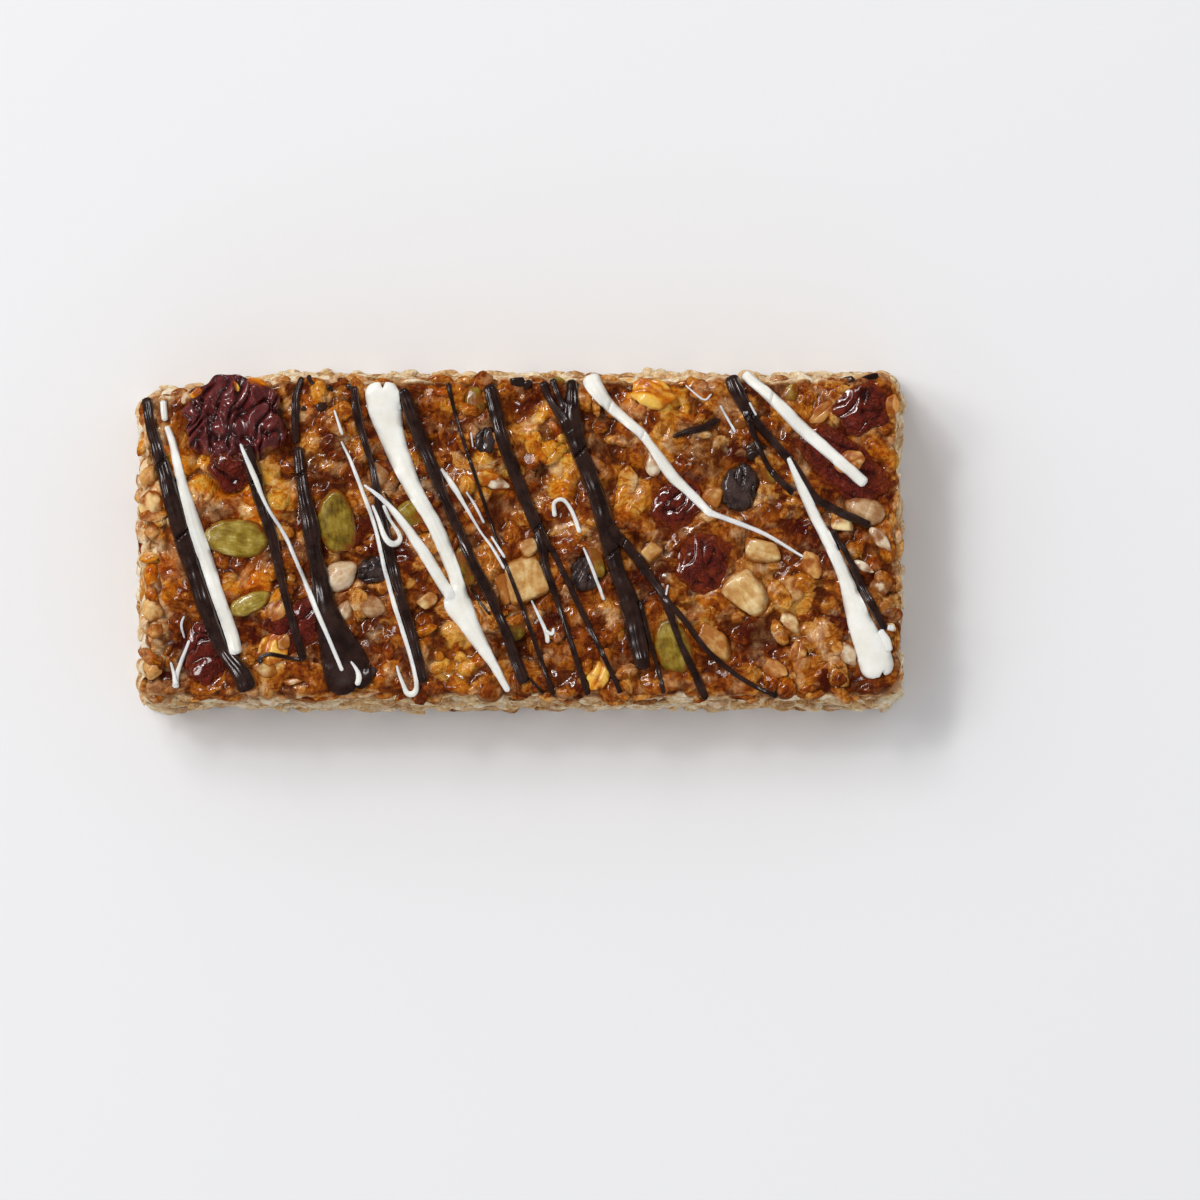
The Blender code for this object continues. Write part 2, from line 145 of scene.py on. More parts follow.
def cells_of(numbers):
    """The four corners of each cell of a table of vertex numbers."""
    corners = numbers[:-1, :-1], numbers[:-1, 1:], numbers[1:, 1:], numbers[1:, :-1]
    return np.stack(corners, axis=-1).reshape(-1, 4)


def enclosed(points, faces):
    """Six times the volume inside: the sum of a . (b x c) over the faces' triangles."""
    total = 0.0
    for group in faces:
        for step in range(1, group.shape[1] - 1):
            a, b, c = points[group[:, 0]], points[group[:, step]], points[group[:, step + 1]]
            total += np.einsum("ij,ij->", a, np.cross(b, c))
    return total


def point_normals(points, faces):
    """Each face adds its area vector to its corners, and the sums are made length 1."""
    normals = np.zeros_like(points)
    for group in faces:
        spread = points[group[:, 2]] - points[group[:, 0]]
        other = points[group[:, -1]] - points[group[:, 1]]
        area = np.cross(spread, other)
        for column in group.T:
            np.add.at(normals, column, area)
    return normals / np.maximum(np.linalg.norm(normals, axis=1), 1e-12)[:, None]


def make_piece(name, shells, look, slot, *nodes):
    """Joins closed shells into one object that rides on the bar. A shell is its points,
    its groups of faces and its values for each point."""
    points, corners, sizes, start = [], [], [], 0
    for shell in shells:
        inside_out = enclosed(shell["points"], shell["faces"]) < 0.0
        for group in shell["faces"]:
            turned = group[:, ::-1] if inside_out else group
            corners.append((turned + start).ravel())
            sizes.append(np.full(len(group), group.shape[1]))
        points.append(shell["points"])
        start += len(shell["points"])
    points, corners, sizes = (np.concatenate(part) for part in (points, corners, sizes))
    mesh = bpy.data.meshes.new(name)
    mesh.vertices.add(len(points))
    mesh.vertices.foreach_set("co", (points * MM).astype(np.float32).ravel())
    mesh.loops.add(len(corners))
    mesh.loops.foreach_set("vertex_index", corners.astype(np.int32))
    mesh.polygons.add(len(sizes))
    starts = np.cumsum(sizes) - sizes
    mesh.polygons.foreach_set("loop_start", starts.astype(np.int32))
    mesh.polygons.foreach_set("use_smooth", np.ones(len(sizes), bool))
    for key in shells[0]["values"]:
        stored = mesh.attributes.new(key, "FLOAT", "POINT")
        joined = np.concatenate([shell["values"][key] for shell in shells])
        stored.data.foreach_set("value", joined.astype(np.float32))
    mesh.update(calc_edges=True)
    mesh.materials.append(look)
    piece = bpy.data.objects.new(name, mesh)
    bpy.context.scene.collection.objects.link(piece)
    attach(piece, "root")
    if nodes:
        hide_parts(*nodes)
    print(f"{name}: {int((sizes - 2).sum())} triangles")


# %% [markdown]
# ## The block: its plain form
#
# The solid gives the length, the depth and the height. The block was pressed in a tray
# and cut, so its top is a little smaller than its foot, its corners are rounded and its
# back left corner has crumbled. A cube with subdivision would do for the outline, but a
# grid for the top whose rim is carried down in rows keeps the cells small and even, and
# that is what the fine relief needs.

# %% The plain block
mass_low, mass_high = (np.array(corner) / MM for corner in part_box("granola_mass"))
HALF_LENGTH, HALF_DEPTH = (mass_high - mass_low)[:2] / 2.0
TOP = 18.0                              # mean height of the top
TOP_LEFT, TOP_RIGHT, TOP_FRONT, TOP_BACK = -54.2, 54.0, -22.3, 23.0
CORNER_ROUND = 2.6
EDGE_ROUND = 1.3                        # radius between the top and the sides
EDGE_CELLS = 4                          # narrow rows of cells on that radius
CELL = 0.33
SIDE_ROWS = 44
WORN_DEPTH, WORN_LENGTH = 2.4, 24.0
FOOT_ROUND = 0.6


def lines_between(low, high):
    """Grid lines a CELL apart, and closer on the rounded edge, where line k of m lies at
    R (1 - cos(k/m * 90 degrees)) from the rim."""
    turns = np.arange(EDGE_CELLS) / EDGE_CELLS * math.pi / 2.0
    edge = EDGE_ROUND * (1.0 - np.cos(turns))
    count = round((high - low - 2.0 * EDGE_ROUND) / CELL) + 1
    inner = np.linspace(low + EDGE_ROUND, high - EDGE_ROUND, count)
    return np.concatenate([low + edge, inner, (high - edge)[::-1]])


def top_grid():
    """The top as a grid of points. Towards the rim it drops along a quarter circle,
    R - sqrt(R^2 - (R - d)^2) at the distance d, and its corners are pulled in to arcs."""
    x, v = np.meshgrid(lines_between(TOP_LEFT, TOP_RIGHT), lines_between(TOP_FRONT, TOP_BACK))
    worn = WORN_DEPTH * ease_between(TOP_LEFT + WORN_LENGTH - x, 0.0, WORN_LENGTH)
    y = TOP_FRONT + (v - TOP_FRONT) * (1.0 - worn / (TOP_BACK - TOP_FRONT))
    sides = x - TOP_LEFT, TOP_RIGHT - x, v - TOP_FRONT, TOP_BACK - v
    inward = np.clip(EDGE_ROUND - np.minimum.reduce(sides), 0.0, EDGE_ROUND)
    z = TOP - EDGE_ROUND + np.sqrt(EDGE_ROUND ** 2 - inward ** 2)
    middle = (TOP_LEFT + TOP_RIGHT) / 2.0, (TOP_FRONT + TOP_BACK - worn) / 2.0
    reach = TOP_RIGHT - middle[0] - CORNER_ROUND, TOP_BACK - worn - middle[1] - CORNER_ROUND
    over_x = np.maximum(np.abs(x - middle[0]) - reach[0], 0.0)
    over_y = np.maximum(np.abs(y - middle[1]) - reach[1], 0.0)
    both = np.minimum(over_x, over_y) > 0.0
    radius = np.maximum(np.hypot(over_x, over_y), 1e-9)
    shrink = np.where(both, np.maximum(over_x, over_y) / radius, 1.0)
    x = x - np.sign(x - middle[0]) * over_x * (1.0 - shrink)
    y = y - np.sign(y - middle[1]) * over_y * (1.0 - shrink)
    return np.stack([x, y, z], axis=-1)


def side_rows(rim):
    """The sides as rows of points below the rim. At the share s of the way down a point
    has gone 1 - (1 - s)^1.7 of the way out to the foot, which is rounded a little."""
    share = (np.arange(1, SIDE_ROWS + 1) / SIDE_ROWS)[:, None, None]
    middle = np.array([(TOP_LEFT + TOP_RIGHT) / 2.0, (TOP_FRONT + TOP_BACK) / 2.0])
    half_top = np.array([TOP_RIGHT - TOP_LEFT, TOP_BACK - TOP_FRONT]) / 2.0
    foot = (rim[:, :2] - middle) / half_top * np.array([HALF_LENGTH, HALF_DEPTH])
    flat = rim[:, :2] + (foot - rim[:, :2]) * (1.0 - (1.0 - share) ** 1.7)
    z = rim[None, :, 2:] * (1.0 - share)
    pinch = FOOT_ROUND * np.clip(1.0 - z / FOOT_ROUND, 0.0, 1.0) ** 2
    outward = foot / np.array([HALF_LENGTH, HALF_DEPTH]) ** 2
    outward /= np.linalg.norm(outward, axis=1)[:, None]
    return np.concatenate([flat - outward * pinch, z], axis=-1)


top = top_grid()
rows, columns = top.shape[:2]
top_numbers = np.arange(rows * columns).reshape(rows, columns)
rim_numbers = np.concatenate([top_numbers[0, :-1], top_numbers[:-1, -1],
                              top_numbers[-1, :0:-1], top_numbers[:0:-1, 0]])
ring_count = len(rim_numbers)
sides = side_rows(top.reshape(-1, 3)[rim_numbers])
side_numbers = rows * columns + np.arange(sides[..., 0].size).reshape(sides.shape[:2])
wall = np.vstack([rim_numbers, side_numbers])
wall = np.hstack([wall, wall[:, :1]])
block_points = np.vstack([top.reshape(-1, 3), sides.reshape(-1, 3), [[0.0, 0.0, 0.0]]])
foot_ring = wall[-1]
foot_faces = np.stack([foot_ring[1:], foot_ring[:-1],
                       np.full(len(foot_ring) - 1, len(block_points) - 1)], axis=-1)
block_faces = [cells_of(top_numbers), cells_of(wall)[:, ::-1], foot_faces]
block_normals = point_normals(block_points, block_faces)
print("block:", len(block_points), "points, rim of", ring_count)

# %% [markdown]
# ## Grain under the glaze
#
# Thousands of grains lie at the surface, and the syrup holds them. Copying thousands of
# grain meshes would be heavy, and most of each would be buried. So each grain is a bump
# of its own in the block's surface, with its own size, turn and tone, and the syrup
# rounds off the creases between bumps. On the top the bumps are broad. At the sides,
# where the tray pressed the grain flat, they lie in level layers.

# %% Bumps
SYRUP_GRIP = 11.0                       # the higher, the sharper the creases
BARE_TONE = 0.30                        # tone between the grains
GRAIN_DEPTH = 2.5                       # a grain moves no point farther off than this
GROOVE_SHARE = 0.16                     # width of a flake's groove over its half width
UP = np.array([0.0, 0.0, 1.0])


def bumps(points, grains):
    """Height and tone of a field of grains. A grain is h (1 - q)^p high, where q is the
    squared distance from its middle over its half axes in its own plane. Heights blend
    as log(sum(exp(k h))) / k, so that the syrup rounds the creases between grains."""
    order = np.argsort(points[:, 0])
    sorted_x = points[order, 0]
    summed = np.ones(len(points))
    highest = np.zeros(len(points))
    tone = np.full(len(points), BARE_TONE)
    for grain in grains:
        middle, normal, along, half_long, half_wide, rise, power, colour, groove = grain
        ends = np.searchsorted(sorted_x, (middle[0] - half_long, middle[0] + half_long))
        near = order[ends[0]:ends[1]]
        way = points[near] - middle
        run = way @ along
        side = way @ np.cross(normal, along)
        left = 1.0 - (run / half_long) ** 2 - (side / half_wide) ** 2
        hit = (left > 0.0) & (np.abs(way @ normal) < GRAIN_DEPTH)
        near, left, side = near[hit], left[hit], side[hit]
        dent = groove * np.exp(-(side / (GROOVE_SHARE * half_wide)) ** 2)
        height = rise * left ** power * (1.0 - dent)
        summed[near] += np.exp(SYRUP_GRIP * height) - 1.0
        lead = height > highest[near]
        highest[near[lead]] = height[lead]
        tone[near[lead]] = colour
    return np.log(summed) / SYRUP_GRIP, tone


def one_grain(middle, normal, turn, half_long, slim, steep, flake, colour):
    """A grain with its long side turned by an angle in the plane of the surface."""
    level = np.cross(UP, normal) if abs(normal[2]) < 0.9 else np.array([1.0, 0.0, 0.0])
    level = level - normal * (level @ normal)
    level /= np.linalg.norm(level)
    along = math.cos(turn) * level + math.sin(turn) * np.cross(normal, level)
    half_wide = half_long * slim
    rise = steep * half_wide
    power, groove = (0.26, 0.30) if flake else (0.55, 0.0)
    return middle, normal, along, half_long, half_wide, rise, power, colour, groove


# %% Grains over the top and round the sides
TOP_STEP, TOP_SHIFT = 2.3, 1.1          # spacing of the grains on the top and their jitter
WALL_STEPS = 3.4, 6.2                   # rows and columns of points between side grains
WALL_SHIFTS = 1.7, 3.0


def top_grains():
    """A jittered lattice of grains over the top, one in four of them an oat flake."""
    grains = []
    for x in np.arange(TOP_LEFT, TOP_RIGHT, TOP_STEP):
        for y in np.arange(TOP_FRONT, TOP_BACK, TOP_STEP):
            shift = chance.uniform(-TOP_SHIFT, TOP_SHIFT, 2)
            middle = np.array([x, y, TOP]) + np.append(shift, 0.0)
            flake = chance.random() < 0.25
            half_long = chance.uniform(1.8, 3.4) if flake else chance.uniform(0.9, 2.3)
            steep = chance.uniform(0.20, 0.42) if flake else chance.uniform(0.40, 0.95)
            grains.append(one_grain(middle, UP, chance.uniform(0.0, math.pi), half_long,
                                    chance.uniform(0.42, 0.9), steep, flake,
                                    chance.beta(1.7, 1.9)))
    return grains


def side_grains():
    """Layers of grains round the sides, long sides nearly level."""
    grains = []
    for row in np.arange(1.0, SIDE_ROWS, WALL_STEPS[0]):
        for column in np.arange(0.0, ring_count, WALL_STEPS[1]):
            row_shift, column_shift = (chance.uniform(-reach, reach) for reach in WALL_SHIFTS)
            at_row = int(np.clip(row + row_shift, 0, SIDE_ROWS - 1))
            number = wall[at_row, int(column + column_shift) % ring_count]
            flake = chance.random() < 0.45
            half_long = chance.uniform(1.4, 3.0) if flake else chance.uniform(0.9, 1.8)
            slim = chance.uniform(0.16, 0.34) if flake else chance.uniform(0.6, 0.95)
            steep = chance.uniform(0.7, 1.6) if flake else chance.uniform(0.45, 0.9)
            grains.append(one_grain(block_points[number], block_normals[number],
                                    chance.normal(0.0, 0.16), half_long, slim, steep, False,
                                    chance.beta(2.4, 1.5)))
    return grains


grains = top_grains() + side_grains()
grain_height, grain_tone = bumps(block_points, grains)
print(len(grains), "grains, mean height", round(grain_height.mean(), 2), "mm")

# %% [markdown]
# ## Where the toppings lie
#
# Each large topping is a solid with a place of its own. Its size and turn stand in these
# tables, because the block makes room for it before the topping itself is made: the
# glaze dips round a topping and rises against it in a low collar.

# %% Tables of the toppings
# name, size (long, wide, thick), turn in degrees, fold size, fold depth, way of the folds
CHERRIES = (("dried_cherry", (15.6, 12.4, 5.2), -4, 1.4, 0.50, 66),)
FRUIT = (
    ("fruit_below_cherry", (6.6, 5.6, 2.6), -50, 2.2, 0.30, 100),
    ("fruit_front_left", (9.8, 6.8, 2.2), 78, 2.2, 0.30, 20),
    ("fruit_left", (10.4, 6.8, 2.2), 30, 2.2, 0.30, 30),
    ("fruit_middle", (7.6, 6.4, 2.4), 40, 1.8, 0.26, 60),
    ("fruit_flat", (9.0, 7.8, 1.5), 70, 1.5, 0.16, 70),
    ("fruit_right", (14.6, 7.4, 1.9), -38, 2.6, 0.26, -20),
    ("fruit_corner", (8.0, 6.6, 1.8), 25, 2.2, 0.24, 40),
)
RAISINS = (
    ("raisin_left", (4.4, 4.0, 2.8), 20, 0.9, 0.18, 20),
    ("raisin_middle", (5.4, 4.3, 3.0), 75, 1.0, 0.18, 70),
    ("raisin_right", (7.0, 5.4, 3.6), 80, 1.0, 0.14, 80),
)
# name, size (long, wide, thick), turn in degrees
PUMPKIN_SEEDS = (
    ("pumpkin_seed_1", (9.6, 5.6, 2.4), 176),
    ("pumpkin_seed_2", (9.2, 5.6, 2.4), 98),
    ("pumpkin_seed_3", (6.4, 3.0, 2.4), 24),
    ("pumpkin_seed_4", (8.4, 5.4, 2.6), 106),
)
KERNELS = (("sunflower_kernel", (6.0, 4.6, 2.8), 35),)
BEANS = (("bean_shaped_nut", (6.2, 4.4, 3.2), -24),)
NUTS = (
    ("almond_slice", (7.0, 3.8, 2.2), -46),
    ("nut_chip_middle", (7.6, 6.4, 3.0), 100),
    ("nut_chip_large", (7.6, 5.7, 3.4), -46),
    ("nut_chip_small", (5.6, 3.8, 2.6), -12),
)
TOPPINGS = [row[:3] for row in CHERRIES + FRUIT + RAISINS + PUMPKIN_SEEDS + KERNELS + BEANS + NUTS]
RIM_DROP = 1.6                          # how far a thing at the rim may lie below the top
COLLAR_HEIGHT = 0.28                    # of the glaze where it rises against a topping


def middle_of(node):
    """The middle of a node's box, in millimetres."""
    low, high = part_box(node)
    return np.array((low + high) / 2.0) / MM


def out_from(points, x, y, long, wide, turn):
    """How far out each point lies over an ellipse: 0 in its middle, 1 on its line."""
    angle = math.radians(turn)
    run = (points[:, 0] - x) * math.cos(angle) + (points[:, 1] - y) * math.sin(angle)
    side = (points[:, 1] - y) * math.cos(angle) - (points[:, 0] - x) * math.sin(angle)
    return np.hypot(2.0 * run / long, 2.0 * side / wide)


def with_room(points, share):
    """The surface sinks under a topping to just below its middle, dips in a ring round
    it, and rises against its side in a collar. The share is 0 at the sides."""
    points = points.copy()
    for name, size, turn in TOPPINGS:
        x, y, level = middle_of(name)
        out = out_from(points, x, y, size[0], size[1], turn)
        under = 1.0 - ease_between(out, 0.72, 1.0)
        ring = 1.0 - ease_between(out, 1.0, 1.45)
        z = points[:, 2]
        z = z - share * ring * np.clip(z - (level + 0.10), 0.0, None) * 0.85
        z = z + share * under * (np.minimum(z, level - 0.2 * size[2]) - z)
        collar = COLLAR_HEIGHT * np.exp(-((out - 1.10) / 0.09) ** 2)
        collar *= 0.6 + 1.4 * ripple(points, 1.6, 83)
        points[:, 2] = z + share * collar * (points[:, 2] < level + 1.2)
    return points


print(len(TOPPINGS), "toppings")

# %% [markdown]
# ## Pools and patches of glaze
#
# Syrup is not spread evenly. It pooled dark red in some places, ran thin and bright amber
# in others, and left the grain dull and pale elsewhere. Each patch is an ellipse with a
# soft and wandering edge.

# %% Patches of glaze
# x, y, length, width, turn in degrees, strength
DARK_POOLS = (
    (-49.0, -16.5, 12.0, 7.0, 25, 1.0), (-38.0, -12.6, 19.0, 5.0, 8, 1.0),
    (-22.8, -0.5, 6.5, 6.0, 70, 0.9),
    (-35.5, 16.5, 7.0, 9.0, 80, 0.8), (-26.5, 13.0, 8.0, 5.5, 60, 0.6), (-17.5, 9.0, 6.0, 5.0, 110, 1.0),
    (-17.0, -0.5, 5.0, 5.0, 0, 0.9), (-12.0, 4.0, 12.0, 4.0, -65, 0.8), (-6.0, 17.0, 8.0, 5.0, 80, 0.5),
    (-14.5, 21.0, 6.0, 5.0, 0, 0.35), (1.5, 20.5, 7.0, 5.0, 0, 0.6), (9.0, -4.5, 6.0, 5.0, 60, 0.8),
    (6.0, -9.0, 9.0, 6.0, 80, 0.5), (2.0, -14.5, 7.0, 7.0, 0, 0.5), (13.0, -19.0, 9.0, 4.0, 0, 0.6),
    (23.0, 6.5, 9.0, 6.0, 40, 0.9), (25.0, -2.5, 12.0, 11.0, 70, 0.65), (19.0, -5.0, 10.0, 4.0, 110, 0.6),
    (32.0, 13.0, 6.0, 8.0, 100, 0.8), (42.0, 1.5, 9.0, 7.0, -45, 0.9), (46.0, 11.5, 17.0, 8.0, -38, 1.0),
    (50.0, 6.5, 7.0, 5.0, 10, 0.8), (49.5, 19.5, 10.0, 6.0, 30, 0.8), (34.5, -14.0, 7.0, 7.0, 0, 0.75),
    (46.5, -12.5, 5.0, 7.0, 70, 0.9), (46.5, -20.0, 10.0, 4.0, 0, 0.8), (-22.0, -12.5, 9.0, 6.0, 20, 0.7),
    (-48.5, -7.5, 7.0, 4.0, 30, 0.5), (-30.0, -1.0, 5.0, 12.0, 5, 0.5), (29.0, -20.5, 12.0, 4.0, 0, 0.4),
    (-44.0, 3.5, 7.0, 3.0, 120, 0.4), (17.0, 2.5, 5.0, 8.0, 20, 0.4), (-9.0, 13.0, 4.0, 9.0, 30, 0.4),
)
AMBER_PATCHES = (
    (20.5, 21.0, 14.0, 7.0, -4, 1.2), (3.5, 15.5, 8.0, 9.0, 70, 0.8), (6.0, 9.5, 8.0, 6.0, 100, 0.8),
    (-4.5, 9.5, 8.0, 6.0, -20, 0.9), (-47.0, 8.0, 8.0, 11.0, 90, 1.0), (-37.0, 5.5, 9.0, 7.0, 40, 1.2),
    (-29.5, 20.0, 7.0, 6.0, 0, 0.6), (-35.0, -16.5, 8.0, 5.0, 20, 0.9), (-10.5, -16.5, 12.0, 8.0, -50, 0.7),
    (-10.5, 20.0, 7.0, 6.0, 0, 0.7), (15.0, 6.0, 8.0, 10.0, 70, 0.6), (11.5, -19.5, 5.0, 4.0, 0, 1.0),
    (25.0, -10.0, 9.0, 8.0, 60, 0.5), (40.0, -8.5, 8.0, 10.0, 70, 0.5), (38.5, -19.0, 9.0, 6.0, 0, 0.7),
    (53.0, 12.0, 4.0, 12.0, 90, 0.7), (43.5, 18.0, 8.0, 7.0, 60, 0.5), (-21.0, -17.5, 7.0, 6.0, 0, 0.5),
    (-52.0, -1.0, 16.0, 6.0, 90, 1.0), (-38.5, -7.0, 9.0, 6.0, 20, 1.2),
    (-52.5, 13.0, 14.0, 6.0, 90, 1.0), (-52.5, -15.0, 12.0, 5.0, 90, 0.8),
    (-43.0, 12.0, 8.0, 6.0, 0, 0.6), (19.5, 13.0, 12.0, 6.0, 30, 0.4), (24.0, -21.0, 6.0, 4.0, 0, 0.5),
    (53.0, -2.0, 4.0, 14.0, 90, 0.5),
)
PALE_PATCHES = (
    (27.5, 13.5, 9.0, 8.0, 30, 0.8), (-5.5, 16.5, 6.0, 7.0, 80, 0.3), (34.0, 7.0, 8.0, 6.0, 60, 0.5),
    (-2.5, -6.0, 8.0, 8.0, 60, 0.6), (-26.0, -10.0, 8.0, 6.0, 20, 0.4), (51.5, -8.0, 6.0, 14.0, 90, 0.6),
    (43.5, 17.5, 7.0, 5.0, 60, 0.5), (36.0, 20.5, 9.0, 5.0, 0, 0.3), (38.0, -17.5, 10.0, 7.0, 0, 0.5),
    (33.5, -1.5, 8.0, 6.0, -30, 0.5), (-40.0, 8.0, 7.0, 5.0, 0, 0.3), (12.0, 10.0, 6.0, 8.0, 0, 0.3),
)


def gathered(points, patches):
    """The sum over the patches of strength times exp(-q^3), with q how far out a point
    lies, at places that noise has stirred so that the edges wander."""
    wandering = stir(points, 4.0, 3.2, 61)
    total = np.zeros(len(points))
    for x, y, long, wide, turn, strength in patches:
        out = out_from(wandering, x, y, long, wide, turn)
        total += strength * np.exp(-(out ** 3))
    return np.clip(total, 0.0, 1.2)


print(len(DARK_POOLS) + len(AMBER_PATCHES) + len(PALE_PATCHES), "patches of glaze")

# %% [markdown]
# ## Swells, syrup and wrinkles
#
# Below the grain lie the broad swells that the solid has too, from the same noise. Over
# it lies the syrup: it fills the low places to a level of its own and dries in fine
# wrinkles. Keeping its depth as a value on every point lets the finish turn deep red
# where the syrup is thick and pale where a grain stands out of it.

# %% Swells of the solid
LUMP_SIZE, LUMP_HEIGHT = 9.0, 1.25      # as the solid has them
GRAIN_SIZE, GRAIN_HEIGHT = 5.0, 0.75
LUMP_SEED = 7.3
LATTICE = 1.0
LATTICE_LOW = np.array([-60.0, -30.0])
LATTICE_COUNTS = 121, 61


def blended(table, low, cell, x, y):
    """The value of a table at any place, when its points lie a cell apart from its low
    corner on. With u and v the shares of the way between four points, it is their sum
    weighted by (1 - u)(1 - v), u (1 - v), (1 - u) v and u v."""
    last = np.array(table.shape) - 1.001
    u = np.clip((np.asarray(x) - low[0]) / cell, 0.0, last[0])
    v = np.clip((np.asarray(y) - low[1]) / cell, 0.0, last[1])
    i, j = np.floor(u).astype(int), np.floor(v).astype(int)
    u, v = u - i, v - j
    near = table[i, j] * (1.0 - u) + table[i + 1, j] * u
    far = table[i, j + 1] * (1.0 - u) + table[i + 1, j + 1] * u
    return near * (1.0 - v) + far * v


def solid_swell(x, y):
    """The solid's swells: two noises on a lattice of 1 mm, blended linearly between."""
    table = np.zeros(LATTICE_COUNTS)
    for i, j in itertools.product(*map(range, LATTICE_COUNTS)):
        place = Vector((LATTICE_LOW[0] + i * LATTICE, LATTICE_LOW[1] + j * LATTICE, TOP))
        lump = noise.noise(place / LUMP_SIZE + Vector((LUMP_SEED, 0, 0)))
        grain = noise.noise(place / GRAIN_SIZE + Vector((0, LUMP_SEED, 0)))
        table[i, j] = LUMP_HEIGHT * lump + GRAIN_HEIGHT * grain
    return blended(table, LATTICE_LOW, LATTICE, x, y)


swell = solid_swell(block_points[:, 0], block_points[:, 1])
print("swells from", swell.min().round(2), "to", swell.max().round(2), "mm")

# %% Syrup and relief
SYRUP_BLEND = 9.0                       # the higher, the sharper the syrup's shoreline
MEAN_BUMP = 0.62                        # what the bumps add on the whole, taken off again

topness = ease_between(block_normals[:, 2], 0.1, 0.75)
pooled = gathered(block_points, DARK_POOLS)
amber = gathered(block_points, AMBER_PATCHES)
pale = gathered(block_points, PALE_PATCHES)
syrup_level = 0.34 + 0.50 * ripple(block_points, 7.0, 5) + 0.40 * ripple(block_points, 2.6, 6)
syrup_level += 0.40 * pooled - 0.15 * amber - 0.25 * pale
syrup_depth = np.clip(syrup_level - grain_height, 0.0, 1.0) * topness
filled = np.exp(SYRUP_BLEND * grain_height) + np.exp(SYRUP_BLEND * (syrup_level - 0.12))
filled = np.log(filled) / SYRUP_BLEND
relief = grain_height + (filled - grain_height) * topness
stirred = stir(block_points, 1.6, 0.9, 11)
relief += 0.26 * (creases(stirred, 1.5, 17, 2.5) - 0.3) * topness
relief += 0.12 * ripple(block_points, 0.8, 19) + 0.30 * ripple(block_points, 2.1, 23)
relief -= MEAN_BUMP
print("relief from", relief.min().round(2), "to", relief.max().round(2), "mm")

# %% The finished block
foot_share = ease_between(block_points[:, 2], 0.0, 2.0)
side_swell = 0.8 * ripple(block_points, 8.0, 29)
block_points = block_points + block_normals * (relief * (0.25 + 0.75 * foot_share))[:, None]
block_points[:, 2] += swell * topness
outward = block_normals * np.array([1.0, 1.0, 0.0])
block_points += outward * (side_swell * foot_share * (1.0 - topness))[:, None]
block_points = with_room(block_points, topness)
block_points[:, 2] = np.maximum(block_points[:, 2], 0.0)
block_points[-1, 2] = 0.0               # the middle of the foot
print("block box:", block_points.min(axis=0).round(1), block_points.max(axis=0).round(1))

# %% Where the glaze ran
# It ran a little over the rim, farther at the right end and less at the back. The left
# end stayed nearly bare.
glaze_reach = 0.9 + 2.2 * ripple(block_points, 5.0, 71)
glaze_reach += 1.5 * ease_between(block_points[:, 0], 49.0, 53.0)
glaze_reach -= 0.9 * ease_between(block_points[:, 1], 18.0, 24.0)
run_over = ease_between(block_points[:, 2] - TOP + glaze_reach + swell, -1.0, 0.5)
bare_end = ease_between(-block_points[:, 0] + 2.4 * ripple(block_points, 3.0, 73), 50.0, 52.4)
covered = np.maximum(topness, run_over) * (1.0 - 0.60 * bare_end)
block_values = {
    "tone": grain_tone,
    "syrup": syrup_depth,
    "height": np.clip(0.5 + relief, 0.0, 1.5),
    "glazed": covered,
    "pooled": pooled,
    "amber": amber,
    "pale": pale,
}
print("glaze covers", round(100.0 * float((covered > 0.5).mean())), "% of the points")

# %% [markdown]
# ## What lies on what
#
# Seeds lie in the block, drizzle lies on both, and a white strand lies on a dark one. A
# ray could be cast down for every point, but a map of heights seen from above answers
# the same question for whole arrays at once. Every piece is added to it once it is made.

# %% Map of heights
MAP_CELL = 0.18
MAP_LOW = np.array([-60.0, -29.0])
MAP_REACH = np.array([120.0, 58.0])


def refined(grid, cell):
    """A grid of points with points blended in between, until hardly any two neighbours
    lie more than a cell apart."""
    for axis in (0, 1):
        grid = np.swapaxes(grid, 0, axis)
        steps = np.linalg.norm(np.diff(grid, axis=0), axis=-1)
        times = max(1, math.ceil(np.quantile(steps, 0.98) / cell))
        walked = np.linspace(0.0, len(grid) - 1.0, (len(grid) - 1) * times + 1)
        before = np.minimum(walked.astype(int), len(grid) - 2)
        share = (walked - before)[:, None, None]
        grid = grid[before] * (1.0 - share) + grid[before + 1] * share
        grid = np.swapaxes(grid, 0, axis)
    return grid


class HeightMap:
    """The highest point of all that is laid so far, on a grid seen from above."""

    def __init__(self):
        self.z = np.zeros((MAP_REACH / MAP_CELL).astype(int))

    def add(self, grid):
        """Raises the four map points round each point of the grid to its height."""
        points = refined(grid, MAP_CELL).reshape(-1, 3)
        place = (points[:, :2] - MAP_LOW) / MAP_CELL
        last = np.array(self.z.shape) - 1
        for shift in itertools.product((0, 1), repeat=2):
            i, j = np.clip(np.floor(place).astype(int) + shift, 0, last).T
            np.maximum.at(self.z, (i, j), points[:, 2])

    def at(self, x, y):
        """The height at any place, blended between the four map points round it."""
        return blended(self.z, MAP_LOW, MAP_CELL, x, y)


heights = HeightMap()

# %% [markdown]
# ## One closed form for everything round
#
# A seed, a nut and a raisin are all a ball pressed into shape. A ball of latitude rings
# has poles where its cells pinch. Here two square grids are bent into the upper and the
# lower half of a ball and share their rim, so the cells stay even and nothing pinches.

# %% The pillow


